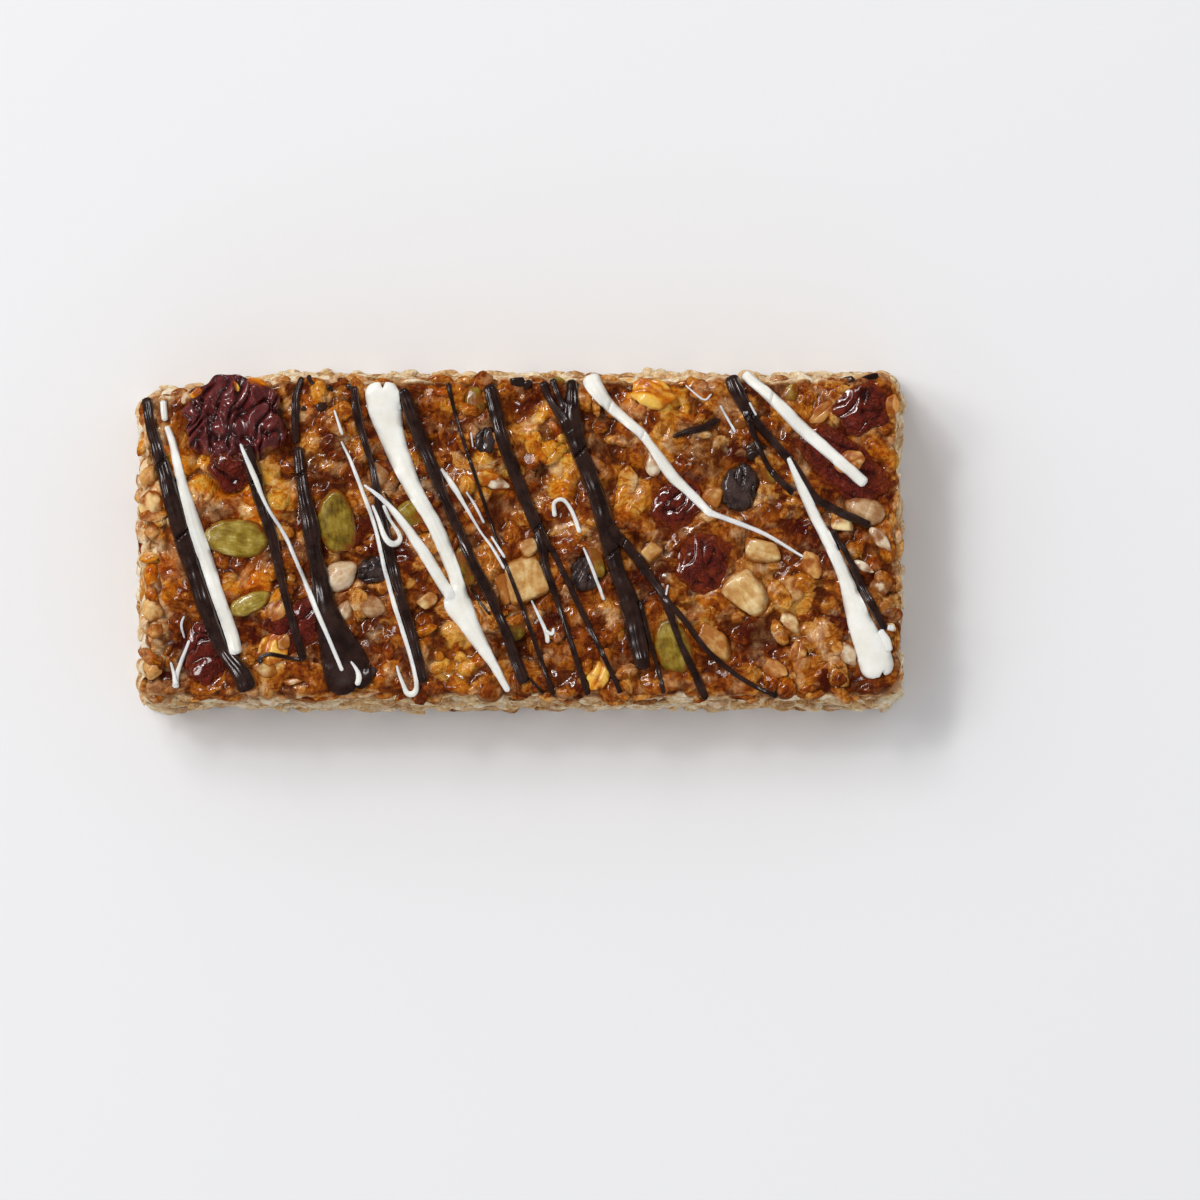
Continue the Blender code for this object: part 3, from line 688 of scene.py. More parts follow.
def pillow(count):
    """A unit ball from two square grids. A square's point (s, t) goes to the disc as
    (s sqrt(1 - t^2/2), t sqrt(1 - s^2/2)), and its radius r there to the angle r 90
    degrees down from the pole. Returns the points, the faces and the upper grid."""
    line = np.linspace(-1.0, 1.0, count + 1)
    s, t = np.meshgrid(line, line, indexing="ij")
    x, y = s * np.sqrt(1.0 - t * t / 2.0), t * np.sqrt(1.0 - s * s / 2.0)
    radius = np.maximum(np.hypot(x, y), 1e-9)
    bend = np.sin(radius * math.pi / 2.0) / radius
    upper = np.stack([x * bend, y * bend, np.cos(radius * math.pi / 2.0)], axis=-1)
    numbers = np.arange((count + 1) ** 2).reshape(count + 1, count + 1)
    inner = numbers[1:-1, 1:-1]
    below = numbers.copy()
    below[1:-1, 1:-1] = numbers.size + np.arange(inner.size).reshape(inner.shape)
    lower = upper[1:-1, 1:-1].reshape(-1, 3) * [1.0, 1.0, -1.0]
    points = np.vstack([upper.reshape(-1, 3), lower])
    faces = np.vstack([cells_of(numbers), cells_of(below)[:, ::-1]])
    return points, [faces], numbers


def lay_down(points, middle, turn, tip=0.0, lean=0.0):
    """Tips a shape about its long axis, leans it along that axis, turns it about Z and
    moves its middle to its place."""
    a, b, c = math.radians(tip), math.radians(lean), math.radians(turn)
    about_x = np.array([[1, 0, 0], [0, math.cos(a), -math.sin(a)], [0, math.sin(a), math.cos(a)]])
    about_y = np.array([[math.cos(b), 0, math.sin(b)], [0, 1, 0], [-math.sin(b), 0, math.cos(b)]])
    about_z = np.array([[math.cos(c), -math.sin(c), 0], [math.sin(c), math.cos(c), 0], [0, 0, 1]])
    return points @ (about_z @ about_y @ about_x).T + np.asarray(middle)


# %% [markdown]
# ## Forms of the toppings
#
# Each form is a function from the unit ball to a shape with half sides of 1, so that the
# same few formulas serve the large pieces and the small bits. Dried fruit folds into
# winding creases. A pumpkin seed is a flat drop with a low rim. A chip of nut is a ball
# cut by a few planes, which leaves flat breaks with blunt edges.

# %% Forms
FOLD = 1.8                              # usual distance between folds of dried fruit


def crumpled(places, fold, way, seed, creased=False):
    """Winding ridges about a fold apart and longer along one way: 1 on the sharp line of
    a ridge, where a stirred noise passes 0, and falling off evenly beside it. Creased is
    the same turned over: full folds of skin with a sharp crease on the line."""
    angle = math.radians(way)
    bent = stir(places, 2.8 * fold, 1.2 * fold, seed)
    along = bent[:, 0] * math.cos(angle) + bent[:, 1] * math.sin(angle)
    across = bent[:, 1] * math.cos(angle) - bent[:, 0] * math.sin(angle)
    drawn = np.stack([along / 3.6, across, 0.5 * bent[:, 2]], axis=-1)
    away = np.abs(ripple(drawn, fold, seed + 3))
    if creased:
        return np.clip(4.0 * away, 0.0, 1.0) ** 0.7
    return np.clip(1.0 - 3.4 * away, 0.0, 1.0) ** 1.2


def squarer(ball, power):
    """How much farther out |x|^power + |y|^power = 1 lies than the circle."""
    out = np.hypot(ball[:, 0], ball[:, 1])
    reach = (np.abs(ball[:, 0]) ** power + np.abs(ball[:, 1]) ** power) ** (1.0 / power)
    return np.where(out > 1e-6, out / np.maximum(reach, 1e-9), 1.0)


def fruit_form(ball, size, seed, fold=FOLD, depth=0.24, way=0.0, ragged=0.3, steep=0.55,
               square=2.2):
    """A flat cushion, z |z|^(steep - 1), raised along crumpled ridges and drawn in along
    others. Its outline is uneven and a little square, |x|^square + |y|^square = 1."""
    body = ball * size / 2.0
    folds = crumpled(body, fold, way, seed, True)
    ridges = crumpled(body, 1.3 * fold, way + 50.0, seed + 20)
    edge = 0.98 + ragged * ripple(ball * [1.0, 1.0, 0.2], 0.8, seed + 9)
    edge += 0.20 * ripple(ball * [1.0, 1.0, 0.2], 0.35, seed + 11)
    edge *= squarer(ball, square)
    flat = np.sign(ball[:, 2]) * np.abs(ball[:, 2]) ** steep
    rise = 0.9 + 0.5 * ripple(body, 3.4, seed + 10)
    rise += depth * (1.4 * folds + 0.8 * ridges - 1.2)
    return np.stack([ball[:, 0] * edge, ball[:, 1] * edge, flat * np.maximum(rise, 0.3)], axis=-1)


def seed_form(ball, size, seed):
    """A flat drop with blunt ends. Its width falls by 28% to one end, its outline is a
    little uneven and it has a soft rim."""
    x, y, z = ball.T
    out = np.hypot(x, y)
    blunt = squarer(ball, 2.7) * (1.0 + 0.16 * ripple(ball * [1.0, 1.0, 0.2], 0.7, seed))
    x, y = x * blunt, y * blunt
    narrow = 1.0 - 0.28 * ease_between(x, -0.1, 1.0)
    rim = 0.86 + 0.12 * np.exp(-((out - 0.82) / 0.09) ** 2)
    swell = 0.22 * ripple(ball, 0.8, seed)
    flat = np.sign(z) * np.abs(z) ** 0.7
    return np.stack([x, y * narrow, flat * (rim + swell)], axis=-1)


def kernel_form(ball, size, seed):
    """A plump drop, its width down by 45% at the pointed end, its skin a little uneven."""
    x, y, z = ball.T
    narrow = 1.0 - 0.45 * ease_between(x, -0.1, 1.0)
    plump = 0.6 + 0.4 * narrow + 0.14 * ripple(ball, 0.8, seed)
    return np.stack([x, y * narrow, z * plump], axis=-1)


def bean_form(ball, size, seed):
    """A smooth plump oval bent to one side by 0.16 x^2, with a seam across it."""
    x, y, z = ball.T
    seam = 0.10 * np.exp(-((x - 0.12) / 0.05) ** 2)
    full = np.sign(z) * np.abs(z) ** 0.8
    return np.stack([x, y * (1.0 + 0.10 * x) + 0.16 * x * x - 0.05,
                     full * (0.96 - seam + 0.12 * ripple(ball, 1.0, seed))], axis=-1)


def chip_form(ball, size, seed):
    """The ball cut by planes: four sides, four bevels and two lids. Towards the direction
    u a plane at the distance c with the normal n lies c / (u . n) away, and the nearest
    of them counts, blended a little."""
    dice = np.random.default_rng(seed)
    turns = np.arange(4) * math.pi / 2.0 + dice.normal(0.2, 0.24, 4)
    sides = np.stack([np.cos(turns), np.sin(turns), dice.uniform(-0.1, 0.35, 4)], axis=1)
    bevels = dice.normal(size=(4, 3)) * [1.0, 1.0, 0.6] + [0.0, 0.0, 0.5]
    lids = np.array([[0.0, 0.0, 1.0], [0.0, 0.0, -1.0]]) + dice.normal(0.0, 0.14, (2, 3))
    normals = np.vstack([sides, bevels, lids])
    normals /= np.linalg.norm(normals, axis=1)[:, None]
    places = [dice.uniform(0.62, 0.80, 4), dice.uniform(0.76, 0.92, 4), [0.60, 0.60]]
    facing = np.maximum(ball @ normals.T, 1e-3)
    reach = np.minimum(np.concatenate(places) / facing, 3.0)
    radius = -np.log(np.exp(-13.0 * reach).sum(axis=1) + math.exp(-13.0)) / 13.0
    radius += 0.035 * ripple(ball * size, 1.0, seed + 1)
    shape = ball * radius[:, None]
    low, high = shape.min(axis=0), shape.max(axis=0)
    return (shape - (low + high) / 2.0) / ((high - low) / 2.0)


def flake_form(ball, size, seed):
    """A rolled oat: a thin disc, its rim uneven, bent like a saddle, with a groove."""
    x, y, z = ball.T
    edge = 1.0 + 0.30 * ripple(ball * [1.0, 1.0, 0.0], 0.7, seed)
    groove = 0.30 * np.exp(-(y / 0.12) ** 2)
    bend = 0.9 * (x * x - y * y) * np.random.default_rng(seed).uniform(-0.5, 0.5)
    flat = np.sign(z) * np.abs(z) ** 0.6
    return np.stack([x * edge, y * edge, flat * (1.0 - groove) + bend], axis=-1)


def puff_form(ball, size, seed):
    """A puffed grain: a rounded body with broad dimples."""
    swell = 1.0 + 0.35 * ripple(ball, 0.9, seed) - 0.12 * creases(ball, 0.8, seed + 1, 2.0)
    return ball * swell[:, None]


def shaped(form, count, place, size, turn, seed, tip=0.0, lean=0.0, tone=0.5, **more):
    """One shell: the form at its size and place. The height of its points over the ground tells the finish
    where the glaze laps up over it. On fruit the tone is taken from its own creases, which the finish
    paints dark as their shade."""
    ball, faces, numbers = pillow(count)
    size = np.array(size, float)
    body = lay_down(form(ball, size, seed, **more) * size / 2.0, place, turn, tip, lean)
    unshaped = ball * size / 2.0
    # on fruit the tone marks the creases, where the finish paints shade
    if form is fruit_form:
        tone = crumpled(unshaped, more.get("fold", FOLD), more.get("way", 0.0), seed, True)
    values = {
        "bare": body[:, 2] - heights.at(body[:, 0], body[:, 1]),
        "tone": np.full(len(body), tone),
        "along": unshaped[:, 0],
        "across": unshaped[:, 1],
    }
    return {"points": body, "faces": faces, "values": values, "upper": body[numbers]}


# %% [markdown]
# ## Finishes
#
# Every finish is a Principled shader whose colour, roughness and fine bumps come from
# noise in the piece's own space and from values kept on its points. A small helper keeps
# the node trees short. Even settings, such as the coat of syrup, stand on the shader's
# own sockets.

# %% Colours and nodes
USUAL = 0.3, 0.7                        # most of a noise's values lie between these


def paint(red, green, blue):
    """A colour given as on a screen, 0 to 255, as the linear light that shaders use."""
    shares = np.array([red, green, blue]) / 255.0
    linear = np.where(shares <= 0.04045, shares / 12.92, ((shares + 0.055) / 1.055) ** 2.4)
    return (*linear, 1.0)


def add_node(tree, kind, inputs=None, **settings):
    """A node with its settings, and for each input a value or another node's output."""
    node = tree.nodes.new(kind)
    for key, value in settings.items():
        setattr(node, key, value)
    for socket, value in (inputs or {}).items():
        if isinstance(value, bpy.types.NodeSocket):
            tree.links.new(value, node.inputs[socket])
        else:
            node.inputs[socket].default_value = value
    return node


# %% A helper for finishes


class Finish:
    """A Principled material, and short ways to add the nodes that feed it."""

    def __init__(self, name, settings):
        self.material = bpy.data.materials.new(name)
        self.material.use_nodes = True
        self.tree = self.material.node_tree
        self.shader = self.tree.nodes["Principled BSDF"]
        for socket, value in settings.items():
            self.shader.inputs[socket].default_value = value
        self.object_place = self.add("ShaderNodeTexCoord").outputs["Object"]

    def add(self, kind, inputs=None, **settings):
        """A node in this material."""
        return add_node(self.tree, kind, inputs, **settings)

    def feed(self, socket, value):
        """Leads a value into the shader."""
        self.tree.links.new(value, self.shader.inputs[socket])

    def value(self, name):
        """A number that is kept on the piece's points."""
        return self.add("ShaderNodeAttribute", attribute_name=name).outputs["Fac"]

    def reckon(self, operation, one, other, clamp=False):
        """A sum of two values, in Blender's word for it."""
        return self.add("ShaderNodeMath", {0: one, 1: other}, operation=operation,
                        use_clamp=clamp).outputs[0]

    def plus(self, one, other, clamp=False):
        """One and the other together, kept between 0 and 1 if clamp is true."""
        return self.reckon("ADD", one, other, clamp)

    def times(self, one, other):
        """One multiplied by the other."""
        return self.reckon("MULTIPLY", one, other)

    def stretch(self, value, low, high, to_low=0.0, to_high=1.0):
        """The value's range low to high brought to another range, eased at both ends."""
        inputs = {"Value": value, "From Min": low, "From Max": high,
                  "To Min": to_low, "To Max": to_high}
        return self.add("ShaderNodeMapRange", inputs, interpolation_type="SMOOTHSTEP").outputs[0]

    def cloud(self, size, detail=2.0, roughness=0.5, twist=0.0, place=None):
        """Noise whose patches are about this many millimetres across."""
        inputs = {"Vector": place or self.object_place, "Scale": 1.0 / (size * MM),
                  "Detail": detail, "Roughness": roughness, "Distortion": twist}
        return self.add("ShaderNodeTexNoise", inputs).outputs[0]

    def drift(self, size, low, high, detail=3.0, roughness=0.5):
        """Such noise with its usual range brought to low and high."""
        return self.stretch(self.cloud(size, detail, roughness), *USUAL, low, high)

    def drawn_out(self, slow, scale, detail, roughness=0.5):
        """Noise that follows the piece: it reads the values kept along and across it, and
        changes slowly along."""
        run = self.times(self.value("along"), slow)
        own_place = self.add("ShaderNodeCombineXYZ", {0: run, 1: self.value("across")})
        inputs = {"Vector": own_place.outputs[0], "Scale": scale,
                  "Detail": detail, "Roughness": roughness}
        return self.add("ShaderNodeTexNoise", inputs).outputs[0]

    def threads(self, size, twist):
        """Thin winding lines, 1 in their middle, where noise passes its mean."""
        over = self.reckon("SUBTRACT", self.cloud(size, 3.0, 0.5, twist), 0.5)
        return self.stretch(self.reckon("ABSOLUTE", over, 0.0), 0.0, 0.09, 1.0, 0.0)

    def fibres(self, size, bend_size=4.0, bend_reach=5.0):
        """Thin lines that run along X in some patches and along Y in others, bent by slow
        noise, as values round 0.5."""
        inputs = {"Vector": self.object_place, "Scale": 1.0 / (bend_size * MM)}
        push = {0: self.add("ShaderNodeTexNoise", inputs).outputs["Color"], 3: bend_reach * MM}
        push = self.add("ShaderNodeVectorMath", push, operation="SCALE").outputs[0]
        bent = self.add("ShaderNodeVectorMath", {0: self.object_place, 1: push}).outputs[0]
        ways = []
        for drawn in ((0.24, 1.0, 0.5), (1.0, 0.24, 0.5)):
            long = self.add("ShaderNodeVectorMath", {0: bent, 1: drawn}, operation="MULTIPLY")
            ways.append(self.cloud(size, 3.0, 0.6, 0.6, long.outputs[0]))
        return self.mix_value(self.stretch(self.cloud(3.2), 0.44, 0.56), *ways)

    def ramp(self, value, shades):
        """A colour for each share, blended between. A shade is (share, red, green, blue)."""
        node = self.add("ShaderNodeValToRGB", {0: value})
        stripes = node.color_ramp.elements
        for number, (share, *colour) in enumerate(shades):
            stripe = stripes[number] if number < 2 else stripes.new(share)
            stripe.position, stripe.color = share, paint(*colour)
        return node.outputs[0]

    def mix(self, share, one, other):
        """A colour that goes from one to the other with the share."""
        return self.add("ShaderNodeMix", {0: share, 6: one, 7: other}, data_type="RGBA").outputs[2]

    def mix_value(self, share, one, other):
        """A number that goes from one to the other with the share."""
        return self.add("ShaderNodeMix", {0: share, 2: one, 3: other}, data_type="FLOAT").outputs[0]

    def bump(self, height, depth, strength=1.0, under=None):
        """Fine relief this many millimetres deep, over the relief already made."""
        inputs = {"Height": height, "Strength": strength, "Distance": depth * MM}
        if under is not None:
            inputs["Normal"] = under
        return self.add("ShaderNodeBump", inputs).outputs[0]


# %% [markdown]
# ### Glazed grain
#
# Seen from above the block is amber: pale tan where a grain stands out, orange where thin syrup covers it,
# and deep red brown where syrup has pooled, with painted shade in the low places between the grains. At the
# sides there is hardly any syrup, and the grain is cream and tan, painted darker brown where it lies low as
# the shade of its joints. One material does both, led by the values on the points. A clear coat gives the
# wet shine.

# %% Finish of the block
# a shade is its share of the tone, then red, green and blue
BROWN_GRAIN = ((0.0, 92, 31, 3), (0.28, 134, 57, 4), (0.52, 164, 84, 12), (0.78, 194, 114, 30),
               (1.0, 222, 156, 76))
BRIGHT_GRAIN = ((0.0, 152, 58, 3), (0.35, 204, 98, 4), (0.65, 226, 136, 16), (1.0, 244, 184, 76))
DULL_GRAIN = ((0.0, 84, 38, 8), (0.4, 140, 80, 26), (0.7, 180, 124, 60), (1.0, 222, 182, 124))
DRY_GRAIN = ((0.0, 172, 116, 62), (0.3, 216, 170, 112), (0.65, 240, 208, 160),
             (1.0, 252, 238, 210))
SYRUP = ((0.0, 48, 9, 3), (0.5, 96, 34, 5), (1.0, 146, 68, 7))


def tone_of_grain(look, speckle, fibres):
    """The grain's own tone and fine noise, raised in amber patches, lowered in pools."""
    tone = look.plus(look.value("tone"), look.stretch(speckle, *USUAL, -0.20, 0.20))
    tone = look.plus(tone, look.stretch(fibres, 0.34, 0.66, -0.24, 0.24))
    tone = look.plus(tone, look.times(look.value("amber"), 0.10))
    return look.plus(tone, look.times(look.value("pooled"), -0.22))


def glazed_colour(look, tone, speckle, drops, thick):
    """Grain of three kinds under syrup, which hides it where it is thick. Pools turn deep red, and the low
    places between the grains get painted shade, a dark brown."""
    brown, bright, dull = (look.ramp(tone, shades)
                           for shades in (BROWN_GRAIN, BRIGHT_GRAIN, DULL_GRAIN))
    amber = look.stretch(look.value("amber"), 0.15, 0.9, 0.0, 0.9)
    pale = look.stretch(look.value("pale"), 0.2, 0.9, 0.0, 0.8)
    grain = look.mix(pale, look.mix(amber, brown, bright), dull)
    deep = look.plus(look.drift(4.0, 0.15, 1.0), look.times(look.value("pooled"), -0.6))
    hidden = look.stretch(thick, 0.12, 0.85, 0.0, 0.88)
    glazed = look.mix(hidden, grain, look.ramp(deep, SYRUP))
    red = look.times(look.stretch(look.value("pooled"), 0.2, 0.8),
                     look.stretch(drops, -0.3, 0.15, 0.4, 1.0))
    glazed = look.mix(red, glazed, look.mix(speckle, paint(40, 5, 3), paint(100, 30, 12)))
    # painted shade: the lower a point lies between the grains, the more dark brown it gets
    painted_valley_shade = look.stretch(look.value("height"), 0.0, 0.55, 0.74, 0.0)
    return look.mix(painted_valley_shade, glazed, paint(64, 20, 4))


def dry_colour(look, tone, fibres):
    """Pressed grain without glaze: darker brown where it lies low between the grains, which paints the
    shade of its joints, and pale on its backs.
    """
    # painted shade: low places between the grains take the darker browns
    low = look.mix(look.stretch(fibres, 0.38, 0.62), paint(112, 64, 30), paint(186, 134, 82))
    return look.mix(look.stretch(look.value("height"), 0.0, 0.5), low, look.ramp(tone, DRY_GRAIN))


def grain_finish():
    """Dry grain that goes over to glazed grain with the share of glaze, and its shine and
    smoothness with it. Pores, fibres and thin threads are the bump."""
    look = Finish("glazed_grain", {
        "IOR": 1.47, "Subsurface Weight": 0.10, "Subsurface Scale": 1.0 * MM,
        "Subsurface Radius": (1.0, 0.55, 0.25), "Coat IOR": 1.50, "Coat Roughness": 0.07,
        "Specular IOR Level": 0.10,
    })
    speckle = look.cloud(0.8, 4.0, 0.65)
    fibres = look.fibres(0.75)
    tone = tone_of_grain(look, speckle, fibres)
    drops = look.stretch(look.cloud(1.6, 4.0, 0.6, 0.8), 0.35, 0.68, -0.35, 0.35)
    thick = look.plus(look.value("syrup"), drops)
    share = look.plus(look.value("glazed"), look.drift(3.0, -0.30, 0.45), True)
    look.feed("Base Color", look.mix(share, dry_colour(look, tone, fibres),
                                     glazed_colour(look, tone, speckle, drops, thick)))
    wet = look.stretch(look.plus(thick, look.value("pooled")), 0.0, 1.0, 0.46, 0.16)
    look.feed("Roughness", look.mix_value(share, 0.55, wet))
    shine = look.stretch(speckle, 0.38, 0.6, 0.25, 1.0)
    look.feed("Coat Weight", look.mix_value(share, 0.0, shine))
    pores = look.bump(look.cloud(0.8, 3.0, 0.6), 0.26, 0.7)
    wrinkles = look.bump(fibres, 0.42, 1.0, pores)
    look.feed("Normal", look.bump(look.threads(1.1, 1.8), 0.10, 0.7, wrinkles))
    return look.material


block_shell = {"points": block_points, "faces": block_faces, "values": block_values}
GLAZED_GRAIN = grain_finish()
make_piece("grain_block", [block_shell], GLAZED_GRAIN, "granola", "granola_mass")
heights.add(block_points[:rows * columns].reshape(rows, columns, 3))

# %% [markdown]
# ## Dried fruit
#
# The cherry, the raisins and the patches of red fruit are the same thing in different
# sizes: skin that has shrunk into winding folds. Folds could be sculpted by hand, but
# creases along the zero lines of a stirred noise wind and meet just as real ones do.
# Fruit lies low in the glaze, so its finish turns to amber syrup at the waterline.

# %% Finish of the fruit


def laps(look, skin, glaze, reach):
    """The skin's colour, turning to the colour of glaze where the piece dips into it,
    within the reach above the glaze."""
    level = look.plus(look.value("bare"), look.drift(1.6, -0.5, 0.4))
    return look.mix(look.stretch(level, 0.0, reach), glaze, skin)


def fruit_finish(name, dark, light, glaze, rough, coat, wrinkle_size, wrinkle_depth, lap=0.5,
                 fold_depth=0.15, shine=0.25):
    """Wrinkled skin with painted shade: dark in its creases and lighter on its folds, and darker and
    lighter in blotches.
    """
    look = Finish(name, {
        "IOR": 1.45, "Subsurface Weight": 0.10, "Subsurface Scale": 1.0 * MM,
        "Subsurface Radius": (1.0, 0.22, 0.16), "Coat Weight": coat, "Coat Roughness": 0.10,
        "Specular IOR Level": shine, "Coat IOR": 1.5 + 0.4 * shine,
    })
    blotch = look.stretch(look.cloud(1.7, 4.0, 0.6, 0.6), 0.32, 0.70, 0.25, 0.85)
    # painted shade: the tone is low in the creases of the folds, which darkens the skin there
    folds = look.stretch(look.value("tone"), 0.0, 0.8, -0.45, 0.15)
    skin = look.mix(look.plus(blotch, folds, True), dark, light)
    look.feed("Base Color", laps(look, skin, glaze, lap))
    look.feed("Roughness", look.drift(0.8, rough - 0.08, rough + 0.12))
    coarse = look.bump(look.threads(2.0, 1.4), fold_depth, 0.8)
    fine = look.cloud(wrinkle_size, 3.0, 0.6, 1.2)
    look.feed("Normal", look.bump(fine, wrinkle_depth, 0.5, coarse))
    return look.material


# the cherry's light colour on its folds is its lighter skin and partly a painted pinkish sheen
CHERRY_SKIN = fruit_finish(
    "cherry_skin", paint(56, 9, 10), paint(126, 44, 42), paint(110, 42, 10), rough=0.32,
    coat=1.0, wrinkle_size=0.9, wrinkle_depth=0.02, lap=0.9, fold_depth=0.02, shine=1.0)
RED_FRUIT = fruit_finish(
    "red_fruit", paint(50, 8, 5), paint(120, 40, 25), paint(122, 46, 12), rough=0.20,
    coat=1.0, wrinkle_size=0.9, wrinkle_depth=0.10, lap=0.9, fold_depth=0.45)
RAISIN_SKIN = fruit_finish(
    "raisin_skin", paint(20, 12, 12), paint(80, 60, 55), paint(60, 32, 14), rough=0.36,
    coat=0.6, wrinkle_size=0.35, wrinkle_depth=0.14)
print("finishes for cherry, red fruit and raisin")

# %% Fruit in its places
TONES = {"almond_slice": 0.10, "nut_chip_large": 0.60, "nut_chip_middle": 0.50,
         "nut_chip_small": 0.50, "bean_shaped_nut": 0.25, "sunflower_kernel": 0.65,
         "pumpkin_seed_1": 0.60, "pumpkin_seed_2": 0.35, "pumpkin_seed_3": 0.7,
         "pumpkin_seed_4": 0.5}
NUDGES = {                              # a fine skin's middle against its solid's
    "fruit_below_cherry": (0.3, 1.0, 0.0),
    "dried_cherry": (-0.4, 0.1, 0.0),
    "pumpkin_seed_4": (0.3, 0.3, -0.4),
}


def set_in(name, form, count, size, turn, look, slot, **more):
    """A topping at the place of its node, added to the map of heights."""
    seed = int(sum(name.encode()))
    place = middle_of(name) + NUDGES.get(name, (0.0, 0.0, 0.0))
    shell = shaped(form, count, place, size, turn, seed, tone=TONES.get(name, 0.5), **more)
    make_piece(name + "_skin", [shell], look, slot, name)
    heights.add(shell["upper"])


WHOLE = {"ragged": 0.25, "steep": 0.55, "square": 2.2}
SUNKEN = {"ragged": 0.40, "steep": 0.9, "square": 3.2}
for table, look, slot, count, body in ((CHERRIES, CHERRY_SKIN, "cherry", 130, WHOLE),
                                       (FRUIT, RED_FRUIT, "fruit", 72, SUNKEN),
                                       (RAISINS, RAISIN_SKIN, "raisin", 56, WHOLE)):
    for name, size, turn, fold, depth, way in table:
        set_in(name, fruit_form, count, size, turn, look, slot, fold=fold, depth=depth,
               way=way - turn, **body)

# %% [markdown]
# ## Seeds and nuts
#
# Pumpkin seeds are olive green with fine lengthwise ribs, and their flat faces lie level.
# Sunflower kernels and nuts are cream. All of them are half sunk, and the glaze tints
# them amber round the edge. Their ribs follow the seed, so the pattern reads values that
# are kept along and across each shell instead of the object's own axes.

# %% Finish of seeds and nuts


def kernel_finish(name, shades, glaze, rough, coat, rib_size, rib_depth, soft=0.2,
                  rib_tint=0.12, lap=1.0):
    """Fine ribs along the piece, blotches and its own tone add up to the share that picks
    the shade. A shade is (share, red, green, blue)."""
    look = Finish(name, {
        "IOR": 1.46, "Subsurface Weight": soft, "Subsurface Scale": 0.9 * MM,
        "Subsurface Radius": (1.0, 0.7, 0.35), "Coat Weight": coat, "Coat Roughness": 0.10,
        "Specular IOR Level": 0.35,
    })
    ribs = look.drawn_out(0.18, 1.0 / rib_size, 3.0, 0.55)
    blotch = look.drift(1.8, -0.28, 0.28, 3.0, 0.6)
    share = look.plus(look.stretch(ribs, *USUAL, -rib_tint, rib_tint), blotch)
    share = look.plus(share, look.value("tone"), True)
    look.feed("Base Color", laps(look, look.ramp(share, shades), glaze, lap))
    look.feed("Roughness", look.drift(0.7, rough - 0.08, rough + 0.12))
    fine = look.bump(ribs, rib_depth, 0.7)
    look.feed("Normal", look.bump(look.cloud(0.35, 3.0, 0.6), 0.05, 0.6, fine))
    return look.material


GREEN_SKIN = kernel_finish(
    "pumpkin_seed_skin",
    ((0.0, 84, 60, 8), (0.42, 138, 110, 26), (0.8, 170, 144, 58), (1.0, 208, 190, 120)),
    paint(134, 70, 10), rough=0.26, coat=0.75, rib_size=0.30, rib_depth=0.06)
CREAM_NUT = kernel_finish(
    "cream_nut", ((0.0, 172, 106, 44), (0.4, 206, 158, 92), (1.0, 240, 214, 158)),
    paint(164, 92, 24), rough=0.26, coat=0.6, rib_size=0.8, rib_depth=0.05, rib_tint=0.16, lap=1.4)
KERNEL_SKIN = kernel_finish(
    "kernel_skin", ((0.0, 166, 116, 70), (0.5, 208, 172, 130), (1.0, 238, 222, 194)),
    paint(146, 84, 34), rough=0.28, coat=0.55, rib_size=0.5, rib_depth=0.05)
OAT_SKIN = kernel_finish(
    "oat_skin", ((0.0, 176, 104, 36), (0.5, 212, 154, 84), (1.0, 236, 198, 136)),
    paint(158, 80, 12), rough=0.32, coat=0.5, rib_size=0.8, rib_depth=0.04)
GOLDEN_SKIN = kernel_finish(
    "golden_fruit", ((0.0, 186, 92, 4), (0.5, 226, 142, 20), (1.0, 244, 196, 90)),
    paint(176, 86, 6), rough=0.22, coat=0.8, rib_size=0.25, rib_depth=0.06, soft=0.35)
print("finishes for pumpkin seed, nut, kernel, oat and golden fruit")

# %% Seeds and nuts in their places
for table, form, look, slot in ((PUMPKIN_SEEDS, seed_form, GREEN_SKIN, "pumpkin_seed"),
                                (KERNELS, kernel_form, KERNEL_SKIN, "nut"),
                                (BEANS, bean_form, KERNEL_SKIN, "nut"),
                                (NUTS, chip_form, CREAM_NUT, "nut")):
    for name, size, turn in table:
        set_in(name, form, 48, size, turn, look, slot)

# %% [markdown]
# ## The drizzle's two finishes
#
# Dark chocolate is nearly black with a soft shine, and light hardly enters it. The white
# coating lets light in, so it glows a little, and where it is thin it looks grey. Both
# have fine lines along the strand, where it was drawn out, so the pattern reads the same
# values along and across as the ribs of the seeds. They are made here because some crumbs
# among the smaller bits are dark drizzle too.

# %% Finishes of the drizzle


def drizzle_finish(name, shades, rough, coat, soft, soft_radius, line_depth, thin_shade=None):
    """Two shades in blotches, and a third one where the strand is thin."""
    look = Finish(name, {
        "IOR": 1.47, "Subsurface Weight": soft, "Subsurface Scale": 0.9 * MM,
        "Subsurface Radius": soft_radius, "Coat Weight": coat, "Coat Roughness": 0.18,
        "Specular IOR Level": 0.30,
    })
    colour = look.mix(look.drift(2.2, 0.0, 1.0, 4.0, 0.6), *shades)
    if thin_shade is not None:
        thick = look.plus(look.value("thick"), look.drift(1.2, -0.10, 0.10, 2.0))
        colour = look.mix(look.stretch(thick, 0.16, 0.40), thin_shade, colour)
    look.feed("Base Color", colour)
    look.feed("Roughness", look.drift(1.3, rough - 0.07, rough + 0.10))
    lines = look.bump(look.drawn_out(0.08, 2.6, 2.0), line_depth, 0.8)
    look.feed("Normal", look.bump(look.cloud(0.5, 3.0, 0.55), 0.03, 0.6, lines))
    return look.material


